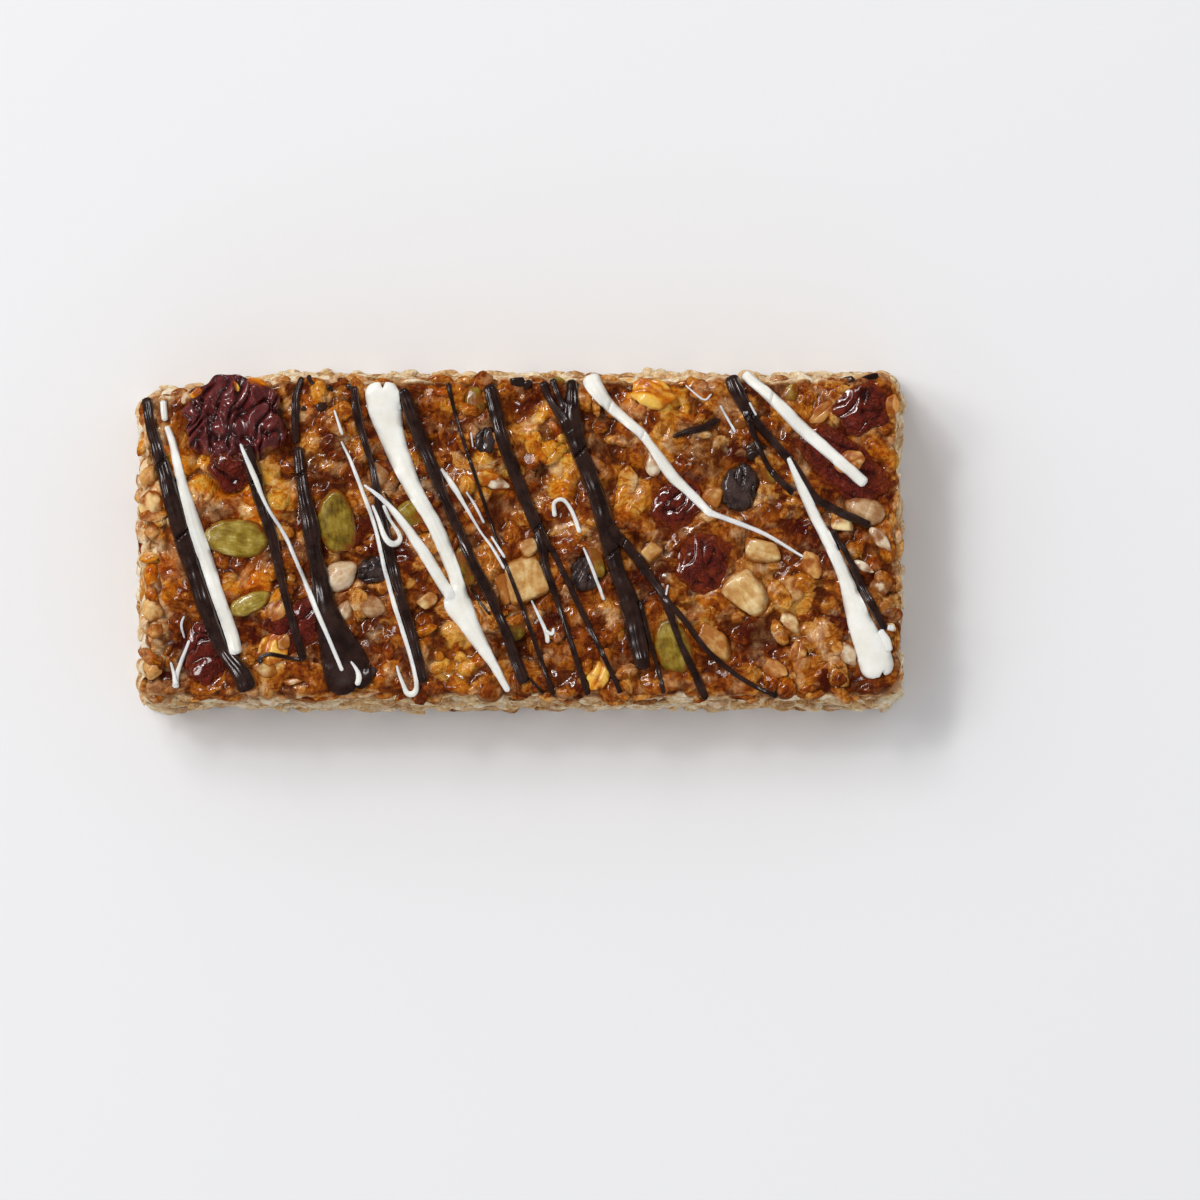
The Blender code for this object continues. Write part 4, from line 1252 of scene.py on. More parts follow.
DARK = drizzle_finish(
    "dark_drizzle", (paint(32, 17, 13), paint(58, 37, 31)), rough=0.24, coat=0.85, soft=0.0,
    soft_radius=(1.0, 0.5, 0.3), line_depth=0.045)
WHITE = drizzle_finish(
    "white_drizzle", (paint(240, 235, 222), paint(248, 245, 236)), rough=0.34, coat=0.3,
    soft=0.30, soft_radius=(1.0, 0.9, 0.75), line_depth=0.04, thin_shade=paint(230, 228, 226))
print("finishes for the dark and the white drizzle")

# %% [markdown]
# ## Smaller bits in the top
#
# Between the large pieces lie bits of seed, chips of nut, oats and single grains, each at
# a place of its own. They are the same forms again, smaller and with fewer cells, and one
# object holds all bits of a kind. Each lies a little below the surface that the map of
# heights gives, so that the glaze closes round it.

# %% Bits at their places
# x, y, long, wide, turn in degrees, sunk share of the thickness, tone (fruit has its own)
SEED_BITS = (
    (-15.5, 3.4, 5.2, 3.4, -52, 0.62, 0.5), (-7.9, -3.5, 5.8, 2.8, 102, 0.62, 0.2),
    (-0.7, -12.0, 4.8, 3.6, 60, 0.62, 0.1), (-6.5, 20.3, 4.3, 2.8, 100, 0.66, 0.3),
    (38.9, 21.2, 3.4, 2.2, 60, 0.5, 0.7), (35.7, 10.2, 4.2, 2.4, 110, 0.66, 0.5),
    (32.0, 17.1, 2.6, 1.6, 20, 0.5, 0.4), (10.7, -2.3, 6.4, 2.6, 102, 0.62, 0.5),
    (5.5, 23.0, 1.8, 1.4, 0, 0.5, 0.5),
)
RAISIN_BITS = ((-5.0, 14.5, 4.0, 3.4, 80, 0.68, 0.5), (-28.6, 19.4, 1.7, 1.4, 30, 0.4, 0.4),
               (-21.4, -19.0, 2.0, 1.6, 60, 0.5, 0.4), (33.8, 13.2, 3.2, 2.2, 20, 0.6, 0.5))
NUT_BITS = (
    (1.4, -0.9, 3.2, 2.8, 20, 0.5, 0.7), (-2.3, -6.5, 5.6, 3.2, 110, 0.66, 0.2),
    (18.9, -1.6, 3.2, 2.4, 40, 0.5, 0.5), (27.9, 6.6, 3.6, 3.0, 60, 0.5, 0.3),
    (27.1, 3.5, 2.6, 2.0, 20, 0.5, 0.4), (39.0, -11.7, 3.5, 2.3, -35, 0.4, 0.9),
    (-36.9, -18.4, 3.6, 3.0, 20, 0.55, 0.6), (-34.0, -14.6, 2.5, 2.0, 70, 0.5, 0.7),
    (-32.8, -20.3, 2.9, 1.0, 10, 0.3, 1.0), (46.4, 2.4, 3.4, 2.0, -10, 0.4, 0.9),
    (53.3, -12.5, 1.7, 1.3, 0, 0.4, 1.0), (-21.4, 21.8, 2.4, 1.8, 10, 0.5, 0.3),
    (52.7, -10.2, 3.4, 2.2, 90, 0.5, 0.4), (-13.4, -8.6, 3.0, 2.2, 30, 0.5, 0.5),
)
KERNEL_BITS = (
    (-3.6, 8.5, 4.4, 2.2, -18, 0.45, 0.8), (19.0, 11.2, 4.0, 2.5, 104, 0.45, 0.7),
    (-25.2, -10.2, 3.5, 2.9, 80, 0.5, 0.5), (-21.2, -9.5, 5.3, 3.3, -8, 0.55, 0.3),
    (47.2, -16.3, 4.0, 2.7, -60, 0.4, 0.8), (52.0, 0.1, 4.8, 1.9, -48, 0.4, 0.9),
    (49.5, -3.7, 3.3, 1.3, -30, 0.35, 1.0), (52.0, -6.6, 3.5, 2.9, 20, 0.5, 0.6),
    (-20.6, 9.2, 4.4, 4.0, 100, 0.66, 0.1), (-50.4, 21.3, 2.8, 1.5, 5, 0.4, 1.0),
    (-47.9, 20.6, 2.2, 1.5, 40, 0.5, 0.9), (-52.9, -5.4, 5.0, 2.2, 100, 0.35, 1.0),
    (-53.9, -15.0, 3.2, 1.5, 95, 0.35, 1.0),
)
PUFF_BITS = (
    (-53.1, 5.3, 4.4, 3.6, 95, 0.55, 0.9), (-53.4, 9.2, 3.4, 2.8, 80, 0.50, 0.5),
    (-53.1, -9.8, 3.6, 3.0, 100, 0.55, 0.6), (-52.9, -18.0, 3.8, 3.0, 80, 0.55, 0.5),
    (-52.8, 1.5, 2.8, 2.4, 60, 0.60, 0.6), (-52.6, -13.0, 2.6, 2.2, 40, 0.60, 0.3),
)
OAT_BITS = (
    (38.9, -7.1, 5.2, 3.5, 35, 0.5, 0.6), (47.6, 11.4, 4.6, 3.0, 20, 0.5, 0.5),
    (53.6, 19.6, 3.0, 2.0, 80, 0.3, 0.2), (43.6, 18.6, 4.2, 2.2, 40, 0.5, 0.4),
    (45.2, -18.4, 4.0, 2.4, 30, 0.5, 0.5), (36.4, -18.2, 4.4, 2.6, -30, 0.5, 0.5),
    (-35.0, -9.6, 4.4, 2.8, 60, 0.5, 0.4), (7.6, 15.4, 3.6, 2.4, 70, 0.5, 0.3),
    (42.0, -3.4, 4.0, 2.6, 110, 0.5, 0.4), (40.0, -16.0, 3.6, 2.6, 80, 0.5, 0.6),
)
GOLDEN_FRUIT = (
    (-37.9, 22.9, 3.0, 1.3, -12, 0.5, 0.4), (-46.6, 21.3, 2.0, 1.1, 40, 0.75, 0.5),
    (-40.9, 22.3, 1.7, 0.7, -60, 0.6, 0.6), (18.9, 21.2, 6.4, 4.2, -8, 0.5, 0.6),
    (-35.6, -15.6, 5.6, 4.2, 50, 0.55, 0.5), (11.4, -19.6, 4.2, 3.0, 60, 0.55, 0.5),
    (-5.6, 9.6, 5.2, 3.0, -20, 0.6, 0.3),
)
DARK_CRUMBS = (
    (47.4, 23.2, 2.0, 1.2, 10, 0.35, 0.5), (50.5, 23.6, 2.6, 1.0, 15, 0.35, 0.5),
    (-0.4, 22.9, 2.4, 1.5, 0, 0.4, 0.5), (1.0, 22.6, 1.6, 1.2, 40, 0.4, 0.5),
    (4.8, 11.5, 1.6, 0.6, 18, 0.4, 0.5), (-31.2, 19.1, 0.9, 0.8, 0, 0.4, 0.5),
    (-24.6, 22.2, 1.2, 1.0, 0, 0.4, 0.5), (33.4, 12.4, 2.2, 1.4, 30, 0.5, 0.5),
)
BIT_SEED, TOP_SEED, WALL_SEED, PUFF_SEED = 500, 2000, 3000, 4000


def scatter_named(name, table, form, thick_share, look, slot, count):
    """One object of many bits, each laid on the map of heights and sunk into it."""
    shells = []
    for number, (x, y, long, wide, turn, sunk, tone) in enumerate(table):
        thick = thick_share * wide
        z = max(heights.at(x, y), TOP - RIM_DROP) + thick * (0.5 - sunk)
        tip, lean = chance.normal(0.0, 5.0, 2)
        shell = shaped(form, count, (x, y, z), (long, wide, thick), turn,
                       BIT_SEED + number, tip, lean, tone)
        heights.add(shell["upper"])
        shells.append(shell)
    make_piece(name, shells, look, slot)


scatter_named("pumpkin_seed_bits", SEED_BITS, seed_form, 0.55, GREEN_SKIN, "pumpkin_seed", 24)
scatter_named("raisin_bits", RAISIN_BITS, fruit_form, 0.75, RAISIN_SKIN, "raisin", 28)
scatter_named("nut_bits", NUT_BITS, chip_form, 0.62, CREAM_NUT, "nut", 24)
scatter_named("kernel_bits", KERNEL_BITS, kernel_form, 0.6, KERNEL_SKIN, "nut", 24)
scatter_named("puffs_at_the_rim", PUFF_BITS, puff_form, 0.8, OAT_SKIN, "granola", 24)
scatter_named("oats_on_top", OAT_BITS, flake_form, 0.36, OAT_SKIN, "granola", 24)
scatter_named("golden_fruit", GOLDEN_FRUIT, fruit_form, 0.5, GOLDEN_SKIN, "fruit", 36)
scatter_named("dark_crumbs", DARK_CRUMBS, chip_form, 0.7, DARK, "dark_drizzle", 12)

# %% [markdown]
# ## Loose grain
#
# Relief alone looks like a crust. On the real bar single puffed grains, oat flakes and
# crumbs stand out of the glaze and make its edges ragged. So a few hundred real grains
# of only a few dozen faces each are set in the top and in the sides, as one object each.
# They wear the block's own finish, with the same values on their points. At the sides the
# flakes lie level, as they did when the mass was pressed flat.

# %% Grain on the top
GRAIN_CELLS = 6                         # cells along each edge of a grain's two grids
RIM_ROOM = 1.0                          # least distance of a grain's middle from either end
# form, how often, length, width over length, thickness over width
TOP_KINDS = ((puff_form, 0.5, (2.6, 4.6), (0.42, 0.60), 0.85),
             (flake_form, 0.3, (2.8, 4.6), (0.5, 0.7), 0.26),
             (chip_form, 0.2, (1.6, 3.0), (0.6, 0.95), 0.75))


def grain_values(points, bare, tone, glazed):
    """The values that the block's finish reads, for a grain that stands out of it."""
    return {
        "tone": np.full(len(points), tone),
        "syrup": np.clip(0.40 - 0.8 * bare, 0.0, 1.0) * glazed,
        "height": np.clip(0.40 + 0.9 * bare, 0.0, 1.5),
        "glazed": np.full(len(points), glazed),
        "pooled": 0.6 * gathered(points, DARK_POOLS),
        "amber": gathered(points, AMBER_PATCHES),
        "pale": gathered(points, PALE_PATCHES),
    }


def free_of_toppings(x, y, room):
    """True where no large topping lies."""
    place = np.array([[x, y, 0.0]])
    return all(out_from(place, *middle_of(name)[:2], size[0] + room, size[1] + room, turn)[0] > 1.0
               for name, size, turn in TOPPINGS)


def top_grain_shells(count):
    """Puffed grains, oat flakes and bits, half sunk in the top at places of their own."""
    forms, odds, longs, slims, thicks = zip(*TOP_KINDS)
    shells = []
    while len(shells) < count:
        x = chance.uniform(TOP_LEFT + 0.3, TOP_RIGHT - 0.3)
        y = chance.uniform(TOP_FRONT + 0.3, TOP_BACK - 0.3)
        kind = chance.choice(len(forms), p=odds)
        long = [chance.uniform(*span) for span in longs][kind]
        slim = [chance.uniform(*span) for span in slims][kind]
        thick = thicks[kind] * long * slim
        turn, tip, lean = chance.uniform(0.0, 180.0), chance.normal(0.0, 9.0), chance.normal(0.0, 9.0)
        sunk, tone = chance.uniform(0.64, 0.86), chance.beta(2.2, 1.8)
        x = min(max(x, TOP_LEFT + RIM_ROOM), TOP_RIGHT - RIM_ROOM)
        ground = heights.at(x, y)
        if ground < TOP - 2.0 * RIM_DROP or not free_of_toppings(x, y, 1.6):
            continue
        z = ground + thick * (0.5 - sunk)
        shell = shaped(forms[kind], GRAIN_CELLS, (x, y, z), (long, long * slim, thick), turn,
                       TOP_SEED + len(shells), tip, lean)
        shell["values"] = grain_values(shell["points"], shell["values"]["bare"], tone, 1.0)
        heights.add(shell["upper"])
        shells.append(shell)
    return shells


make_piece("grains_on_top", top_grain_shells(165), GLAZED_GRAIN, "granola")

# %% Grain at the sides
# form, how often, spans of length, width and thickness, and how far it stands out
SIDE_KINDS = ((flake_form, 0.46, ((2.6, 5.0), (2.0, 3.2), (0.5, 0.8)), (0.2, 0.9)),
              (puff_form, 0.34, ((1.8, 3.4), (1.4, 2.0), (1.3, 2.0)), (0.4, 1.0)),
              (flake_form, 0.20, ((2.0, 4.0), (0.8, 1.3), (0.3, 0.5)), (0.3, 0.9)))
# x, y and diameter of round puffs that stand out of the sides near the rim
WALL_PUFFS = ((-53.7, 10.2, 4.0), (-53.0, 7.1, 3.2), (-53.3, 4.4, 3.6), (-51.8, -8.5, 3.4),
              (-52.6, -17.9, 3.6), (-53.6, 13.6, 3.4), (-53.0, -12.0, 3.2), (-54.0, 0.6, 3.6),
              (-53.5, 16.5, 2.8), (-53.5, -2.6, 2.8), (-53.5, -20.5, 2.8), (40.6, 24.4, 3.0))


def set_in_wall(form, row, column, size, poke, seed, level_face, tone, most=1.0):
    """A grain in a side, long side level. Its flat side faces up if level_face is true
    and outwards if not, and it stands out of the wall by the poke. The glaze covers it by
    at most the share named most, and only near the rim."""
    number = wall[row, column % ring_count]
    normal = block_normals[number] * [1.0, 1.0, 0.3]
    normal /= np.linalg.norm(normal)
    level = np.cross(UP, normal)
    level /= np.linalg.norm(level)
    rising = np.cross(normal, level)
    axes = np.stack([level, -normal, rising] if level_face else [level, rising, normal])
    ball, faces = pillow(GRAIN_CELLS)[:2]
    size = np.array(size, float)
    tilt = chance.normal(0.0, 11.0, 3)
    body = lay_down(form(ball, size, seed) * size / 2.0, (0.0, 0.0, 0.0), *tilt)
    reach = size[1] / 2.0 if level_face else size[2] / 2.0
    middle = block_points[number] + normal * (poke - reach)
    points = body @ axes + middle
    points[:, 2] = np.maximum(points[:, 2], 0.0)
    bare = (points - block_points[number]) @ normal
    glazed = most * ease_between(points[:, 2].mean(), TOP - 4.5, TOP - 1.0)
    values = grain_values(points, bare + 0.5, tone, glazed)
    return {"points": points, "faces": faces, "values": values}


def side_grain_shells(count):
    """Flakes, puffed grains and slivers all round, more of them near the rim."""
    forms, odds, sizes, pokes = zip(*SIDE_KINDS)
    shells = []
    for number in range(count):
        row = int(SIDE_ROWS * chance.random() ** 1.5)
        column = int(chance.integers(ring_count))
        kind = chance.choice(len(forms), p=odds)
        size = [[chance.uniform(*span) for span in spans] for spans in sizes][kind]
        poke = [chance.uniform(*span) for span in pokes][kind]
        level_face = forms[kind] is flake_form
        shells.append(set_in_wall(forms[kind], row, column, size, poke, WALL_SEED + number,
                                  level_face, chance.beta(2.4, 1.6)))
    rim = block_points[wall[0, :-1]]
    for number, (x, y, across) in enumerate(WALL_PUFFS):
        column = int(np.argmin(np.hypot(rim[:, 0] - x, rim[:, 1] - y)))
        shells.append(set_in_wall(puff_form, 3, column, (across, across, across), 0.75,
                                  PUFF_SEED + number, False, 0.95, 0.40))
    return shells


make_piece("grains_at_sides", side_grain_shells(580), GLAZED_GRAIN, "granola")

# %% [markdown]
# ## Drizzle
#
# Melted chocolate falls from a moving nozzle as a strand. It settles over the lumps, its
# middle bridging the small hollows while its edges run down into them, and it sets with a
# rounded back, drag lines along it and a crack here and there. A bevelled curve would be
# a plain pipe hanging over the surface. So each strand is a section carried along a route
# and laid on the map of heights. Its width goes its own way on the left and the right.

# %% A strand
STATION = 0.20                          # spacing of the sections
ACROSS = 17                             # points over the back of a section
SPAN_STEPS = 24                         # points read on the curve between two of its own
NARROWEST, THINNEST = 0.12, 0.16
FLATNESS = 2.6                          # power of the rounded back
NOTCH_REACH, NOTCH_WIDTH = 0.9, 0.24
DRAG_LINES, DRAG_WIDTH = (-0.36, 0.30), 0.16
CRACK_WIDTH = 0.15
EDGE_SUNK, FOOT_SUNK = 0.05, 0.30       # how far the edges and the underside lie in the ground


def smooth_route(points):
    """A Catmull-Rom curve through the points (x, y, width), read at even distances."""
    points = np.array(points, float)
    around = np.vstack([2 * points[0] - points[1], points, 2 * points[-1] - points[-2]])
    t = np.linspace(0.0, 1.0, SPAN_STEPS, endpoint=False)[:, None]
    spans = []
    for a, b, c, d in zip(around[:-3], around[1:-2], around[2:-1], around[3:]):
        bend = (c - a) * t + (2.0 * a - 5.0 * b + 4.0 * c - d) * t ** 2
        spans.append(b + 0.5 * (bend + (3.0 * b - a - 3.0 * c + d) * t ** 3))
    curve = np.vstack(spans + [points[-1:]])
    walked = np.append(0.0, np.cumsum(np.hypot(*np.diff(curve[:, :2], axis=0).T)))
    even = np.linspace(0.0, walked[-1], max(12, round(walked[-1] / STATION)))
    return np.stack([np.interp(even, walked, column) for column in curve.T], axis=1), even


def softened(values, reach):
    """A running mean with a bell-shaped weight over this many stations, edges held."""
    reach = int(round(reach))
    if reach < 1:
        return values
    span = np.arange(-2 * reach, 2 * reach + 1)
    bell = np.exp(-(span / reach) ** 2)
    padded = np.pad(values, 2 * reach, mode="edge")
    return np.convolve(padded, bell / bell.sum(), mode="valid")


def crests(values, reach):
    """The highest value within this many stations."""
    padded = np.pad(values, reach, mode="edge")
    return np.lib.stride_tricks.sliding_window_view(padded, 2 * reach + 1).max(axis=1)


def bed_under(true, t, width):
    """Where a strand rests: a smooth line along it through the higher points of the
    ground, tilted as the ground is on the whole, and near its edges the ground itself."""
    reach = np.clip(1.3 * width.mean() / STATION, 3.0, 13.0)
    high = 0.5 * true[:, 3:-3].max(axis=1) + 0.5 * true[:, 3:-3].mean(axis=1)
    middle = softened(crests(high, max(1, int(reach / 3.0))), reach) - 0.06
    slope = np.clip(true[:, -3] - true[:, 2], -0.35 * width, 0.35 * width)
    bed = middle[:, None] + softened(slope, reach)[:, None] * t / 2.0
    return bed + (true - bed) * np.abs(t) ** 5


# %% The shell of a strand


def wavering(line, seed, slow, quick):
    """A slow and a quick noise along a strand. Each is given as its reach and its size."""
    return slow[0] * ripple(line, slow[1], seed) + quick[0] * ripple(line, quick[1], seed + 1)


def wrapped(upper, lower):
    """The points and faces of a closed shell round the grid of a back and the grid of its
    underside, with a cap at each end."""
    ring = np.concatenate([upper, lower[:, ::-1]], axis=1)
    numbers = np.arange(ring[..., 0].size).reshape(ring.shape[:2])
    around = np.hstack([numbers, numbers[:, :1]])
    caps = [np.stack([numbers[end, :ACROSS], numbers[end, ACROSS:][::-1]]) for end in (0, -1)]
    faces = [cells_of(around), cells_of(caps[0]), cells_of(caps[1])[:, ::-1]]
    return ring.reshape(-1, 3), [np.vstack(faces)]


def strand(route, thick_share, thickest, seed, blunt=(0.32, 0.32), fade=(0.0, 0.0),
           notch=(0.0, 0.0, 0.0), breaks=(), uneven=1.0):
    """A strand as a closed shell. With t from -1 to 1 across it, its back stands
    h (1 - |t|^FLATNESS)^0.5 over its bed. A blunt end rounds off over that share of its
    width. A fade is the length over which an end thins out into the strand that it joins.
    A notch (start, end, t) draws the middle of an end in. A break is a place (x, y) where
    h dips in a line."""
    curve, walked = smooth_route(route)
    left_over = walked[-1] - walked
    line = np.stack([walked, np.full_like(walked, seed * 3.7), np.zeros_like(walked)], axis=1)
    width = np.maximum(curve[:, 2], NARROWEST)
    uneven = uneven * np.clip(2.2 / width, 0.3, 1.0)
    left = 1.0 + uneven * wavering(line, seed, (0.16, 3.6), (0.15, 1.4))
    right = 1.0 + uneven * wavering(line, seed + 2, (0.16, 4.1), (0.15, 1.5))
    ends = np.minimum(walked / (blunt[0] * width[0]), left_over / (blunt[1] * width[-1]))
    round_end = np.sqrt(np.clip(1.0 - (1.0 - np.clip(ends, 0.0, 1.0)) ** 2, 0.0, 1.0))
    width = width * (0.42 + 0.58 * round_end)
    unfaded = np.clip(thick_share * width, THINNEST, thickest) * (0.40 + 0.60 * round_end)
    unfaded = unfaded * (1.0 + uneven * wavering(line, seed + 4, (0.34, 4.5), (0.26, 1.9)))
    thick = unfaded
    for length, distance in zip(fade, (walked, left_over)):
        if length > 0.0:
            thick = thick * (0.06 + 0.94 * ease_between(distance, 0.0, length))

    t = np.linspace(-1.0, 1.0, ACROSS)
    t = np.sign(t) * (1.0 - (1.0 - np.abs(t)) ** 1.3)
    half = width[:, None] / 2.0 * np.where(t < 0.0, right[:, None], left[:, None])
    pulled_in = notch[0] * np.exp(-walked / NOTCH_REACH)
    pulled_in = pulled_in - notch[1] * np.exp(-left_over / NOTCH_REACH)
    shift = pulled_in[:, None] * np.exp(-((t - notch[2]) / NOTCH_WIDTH) ** 2)
    way = np.gradient(curve[:, :2], axis=0)
    way /= np.maximum(np.linalg.norm(way, axis=1), 1e-9)[:, None]
    side = np.stack([-way[:, 1], way[:, 0]], axis=1)
    x = curve[:, :1] + side[:, :1] * t * half + way[:, :1] * shift
    y = curve[:, 1:2] + side[:, 1:] * t * half + way[:, 1:] * shift

    true = np.maximum(heights.at(x, y), TOP - RIM_DROP)
    back = np.clip(1.0 - np.abs(t) ** FLATNESS, 0.0, 1.0) ** 0.5
    lane = 0.5 * ripple(line, 7.0, seed + 6)[:, None]
    drag = sum(np.exp(-((t - lane - place) / DRAG_WIDTH) ** 2) for place in DRAG_LINES)
    rise = thick[:, None] * back * (1.0 - 0.18 * uneven[:, None] * drag)
    for place in breaks:
        nearest = np.argmin(np.hypot(curve[:, 0] - place[0], curve[:, 1] - place[1]))
        from_break = walked[:, None] - walked[nearest] + 0.25 * t * width[:, None]
        rise = rise * (1.0 - 0.8 * np.exp(-(from_break / CRACK_WIDTH) ** 2))
    calm = np.stack([softened(column, 3) for column in true.T], axis=1)
    z = np.maximum(bed_under(true, t, width) + rise, calm + 0.45 * rise)
    z[:, [0, -1]] = true[:, [0, -1]] - EDGE_SUNK
    upper = np.stack([x, y, z], axis=-1)
    lower = np.stack([x, y, np.minimum(true, z) - FOOT_SUNK], axis=-1)
    points, faces = wrapped(upper, lower)
    values = {
        "thick": np.repeat(unfaded, 2 * ACROSS),
        "along": np.repeat(walked, 2 * ACROSS),
        "across": np.hstack([t * half, (t * half)[:, ::-1]]).ravel(),
    }
    return {"points": points, "faces": faces, "values": values, "upper": upper}


# %% [markdown]
# ### Where the drizzle fell
#
# Each route is a short list of places and widths that the strand passes through. A strand that forks has
# one route for each branch. A curve through the places gives the rest, so only bends and changes of width
# need a place.

# %% Routes of the dark drizzle
# (x, y, width) from the back edge to the front, in the order in which they fell
DARK_ROUTES = {
    "dark_strand_1": (
        ((-53.9, 20.7, 1.6), (-53.3, 16.7, 1.6), (-51.8, 11.7, 2.3), (-50.1, 5.9, 2.7), (-48.4, 0.1, 2.9),
         (-46.7, -5.6, 2.6), (-44.9, -10.7, 2.6), (-42.9, -15.4, 2.2), (-40.3, -18.9, 3.0),
         (-39.2, -21.6, 3.0)),
    ),
    "dark_strand_2": (
        ((-39.5, 13.7, 1.9), (-38.3, 9.5, 2.4), (-37.2, 5.2, 2.0), (-35.6, 0.1, 1.7), (-34.6, -4.9, 1.4),
         (-33.7, -8.5, 1.2), (-32.1, -14.3, 1.3), (-31.2, -17.1, 1.3)),
    ),
    "dark_strand_3": (
        ((-32.1, 13.6, 1.7), (-31.4, 8.1, 1.9), (-30.4, 3.0, 2.6), (-29.2, -3.6, 2.5), (-28.5, -7.5, 3.0),
         (-27.3, -12.0, 4.2), (-26.0, -15.8, 6.0), (-25.0, -18.6, 7.0), (-23.9, -21.7, 6.6)),
    ),
    "dark_strand_4": (
        ((-24.0, 22.3, 1.2), (-23.3, 17.4, 1.3), (-21.6, 11.7, 1.0), (-20.4, 5.9, 1.3),
         (-18.6, -2.7, 1.6), (-17.0, -8.5, 1.6), (-15.4, -14.3, 1.6), (-14.0, -20.4, 1.9)),
    ),
    "dark_strand_5": (
        ((-17.0, 22.0, 1.2), (-15.8, 18.9, 2.2), (-14.3, 14.4, 2.2), (-12.1, 9.2, 1.9), (-11.1, 6.6, 1.4),
         (-9.2, 2.3, 1.6), (-6.3, -4.2, 1.6), (-4.5, -7.5, 1.9), (-3.0, -10.9, 1.4), (-1.4, -15.0, 1.7),
         (0.6, -20.5, 1.8)),
    ),
    "dark_strand_6": (
        ((-4.5, 22.6, 1.9), (-3.3, 18.1, 2.3), (-1.9, 12.8, 2.0), (0.3, 7.1, 2.0), (3.0, 0.4, 1.9),
         (3.6, -3.2, 1.2), (4.9, -7.3, 1.0), (6.6, -12.4, 0.85), (8.2, -17.4, 0.9), (9.8, -22.2, 0.8)),
        ((3.3, 1.0, 1.0), (5.3, -2.7, 0.9), (7.6, -7.5, 0.9), (9.8, -12.1, 0.9), (12.4, -17.4, 0.75),
         (14.5, -21.9, 0.8)),
    ),
    "dark_strand_7": (
        ((7.5, 23.3, 1.6), (7.4, 20.3, 2.2), (7.4, 17.2, 3.4), (8.5, 13.1, 2.7), (10.1, 9.1, 2.6),
         (11.8, 4.2, 2.7), (13.0, -0.6, 2.7), (13.8, -3.7, 2.4), (15.3, -7.8, 2.9), (16.3, -11.4, 3.0),
         (17.1, -15.3, 2.9), (17.9, -18.5, 2.0)),
        ((3.2, 23.0, 1.3), (4.3, 20.3, 1.2), (5.8, 18.1, 1.5), (7.2, 15.6, 2.0)),
        ((4.6, 23.4, 1.0), (5.3, 21.4, 1.0), (6.4, 19.0, 1.2)),
        ((12.8, 2.2, 1.3), (16.1, -1.6, 1.6), (19.2, -5.8, 1.3), (20.9, -8.5, 1.3), (22.9, -14.3, 1.0),
         (24.6, -17.9, 1.2), (26.8, -22.8, 1.3)),
        ((20.6, -7.9, 0.9), (23.9, -11.7, 0.9), (26.6, -15.4, 0.9), (30.2, -18.6, 0.75),
         (33.4, -20.7, 0.75), (37.0, -22.5, 0.9)),
    ),
    "dark_strand_8": (
        ((30.2, 23.8, 2.2), (32.1, 19.9, 2.1), (34.3, 16.8, 1.5), (37.3, 13.4, 1.3), (39.9, 10.2, 1.3),
         (42.2, 6.6, 1.3), (45.5, 4.5, 1.3), (50.4, 2.2, 1.2)),
        ((32.3, 18.9, 1.1), (34.0, 14.5, 0.9), (36.1, 10.2, 0.9), (39.5, 6.8, 1.2)),
    ),
}
DARK_THREADS = (
    ((-31.5, 23.7, 0.8), (-32.2, 21.6, 1.1), (-32.4, 19.6, 1.2), (-32.4, 14.2, 1.1)),
    ((-10.4, 22.8, 0.8), (-9.1, 17.4, 0.5), (-6.3, 8.8, 0.6), (-3.1, -0.6, 0.45), (-0.1, -8.5, 0.7),
     (3.0, -17.1, 0.7), (4.8, -22.2, 0.8)),
    ((17.3, -8.5, 0.6), (18.7, -14.3, 0.6), (19.9, -18.6, 0.6), (20.7, -22.0, 0.65)),
    ((22.0, 15.0, 0.5), (23.9, 15.7, 1.0), (26.5, 16.4, 1.2), (28.5, 17.6, 1.2)),
    ((44.9, 1.6, 0.9), (47.5, -2.7, 1.0), (49.8, -7.6, 1.3), (52.6, -12.8, 1.3)),
    ((-37.0, -16.9, 0.5), (-37.6, -17.5, 0.55), (-37.4, -16.7, 0.55), (-36.0, -16.3, 0.6),
     (-33.8, -16.7, 0.6), (-31.5, -17.2, 0.6)),
    ((-7.2, -6.8, 0.35), (-5.8, -8.8, 0.4), (-4.3, -10.7, 0.35)),
    ((1.3, -19.7, 0.5), (2.4, -21.0, 0.45), (3.3, -22.0, 0.45)),
    ((-30.5, 24.0, 0.6), (-30.4, 23.3, 0.65), (-29.8, 22.6, 0.6)),
    ((-27.7, 22.5, 0.9), (-27.1, 21.6, 0.4)),
    ((-19.6, 7.0, 0.4), (-17.2, 3.4, 0.45), (-14.2, -1.2, 0.4)),
)
# places (x, y) where a strand has cracked
BREAKS = {"dark_strand_1": ((-51.6, 11.4), (-48.6, 0.9)), "dark_strand_2": ((-38.1, 8.9),),
          "dark_strand_3": ((-31.6, 9.6),), "dark_strand_6": ((2.4, 2.0),),
          "dark_strand_7": ((8.7, 12.8), (13.2, -1.6)), "dark_strand_8": ((33.4, 18.0), (38.6, 11.8)),
          "white_strand_3": ((12.9, 19.6), (17.7, 15.3)), "white_strand_4": ((36.3, 20.6),)}
print(len(DARK_ROUTES), "dark strands and", len(DARK_THREADS), "dark threads")

# %% [markdown]
# ### Laying the drizzle
#
# The dark strands fell first and the white ones after, so they are laid in that order and
# each one joins the map of heights before the next. The thin threads are a piece of their
# own in each colour. The table above lists the cracks, and the one below says which ends
# join another strand and thin out there, and which are blunt or notched.

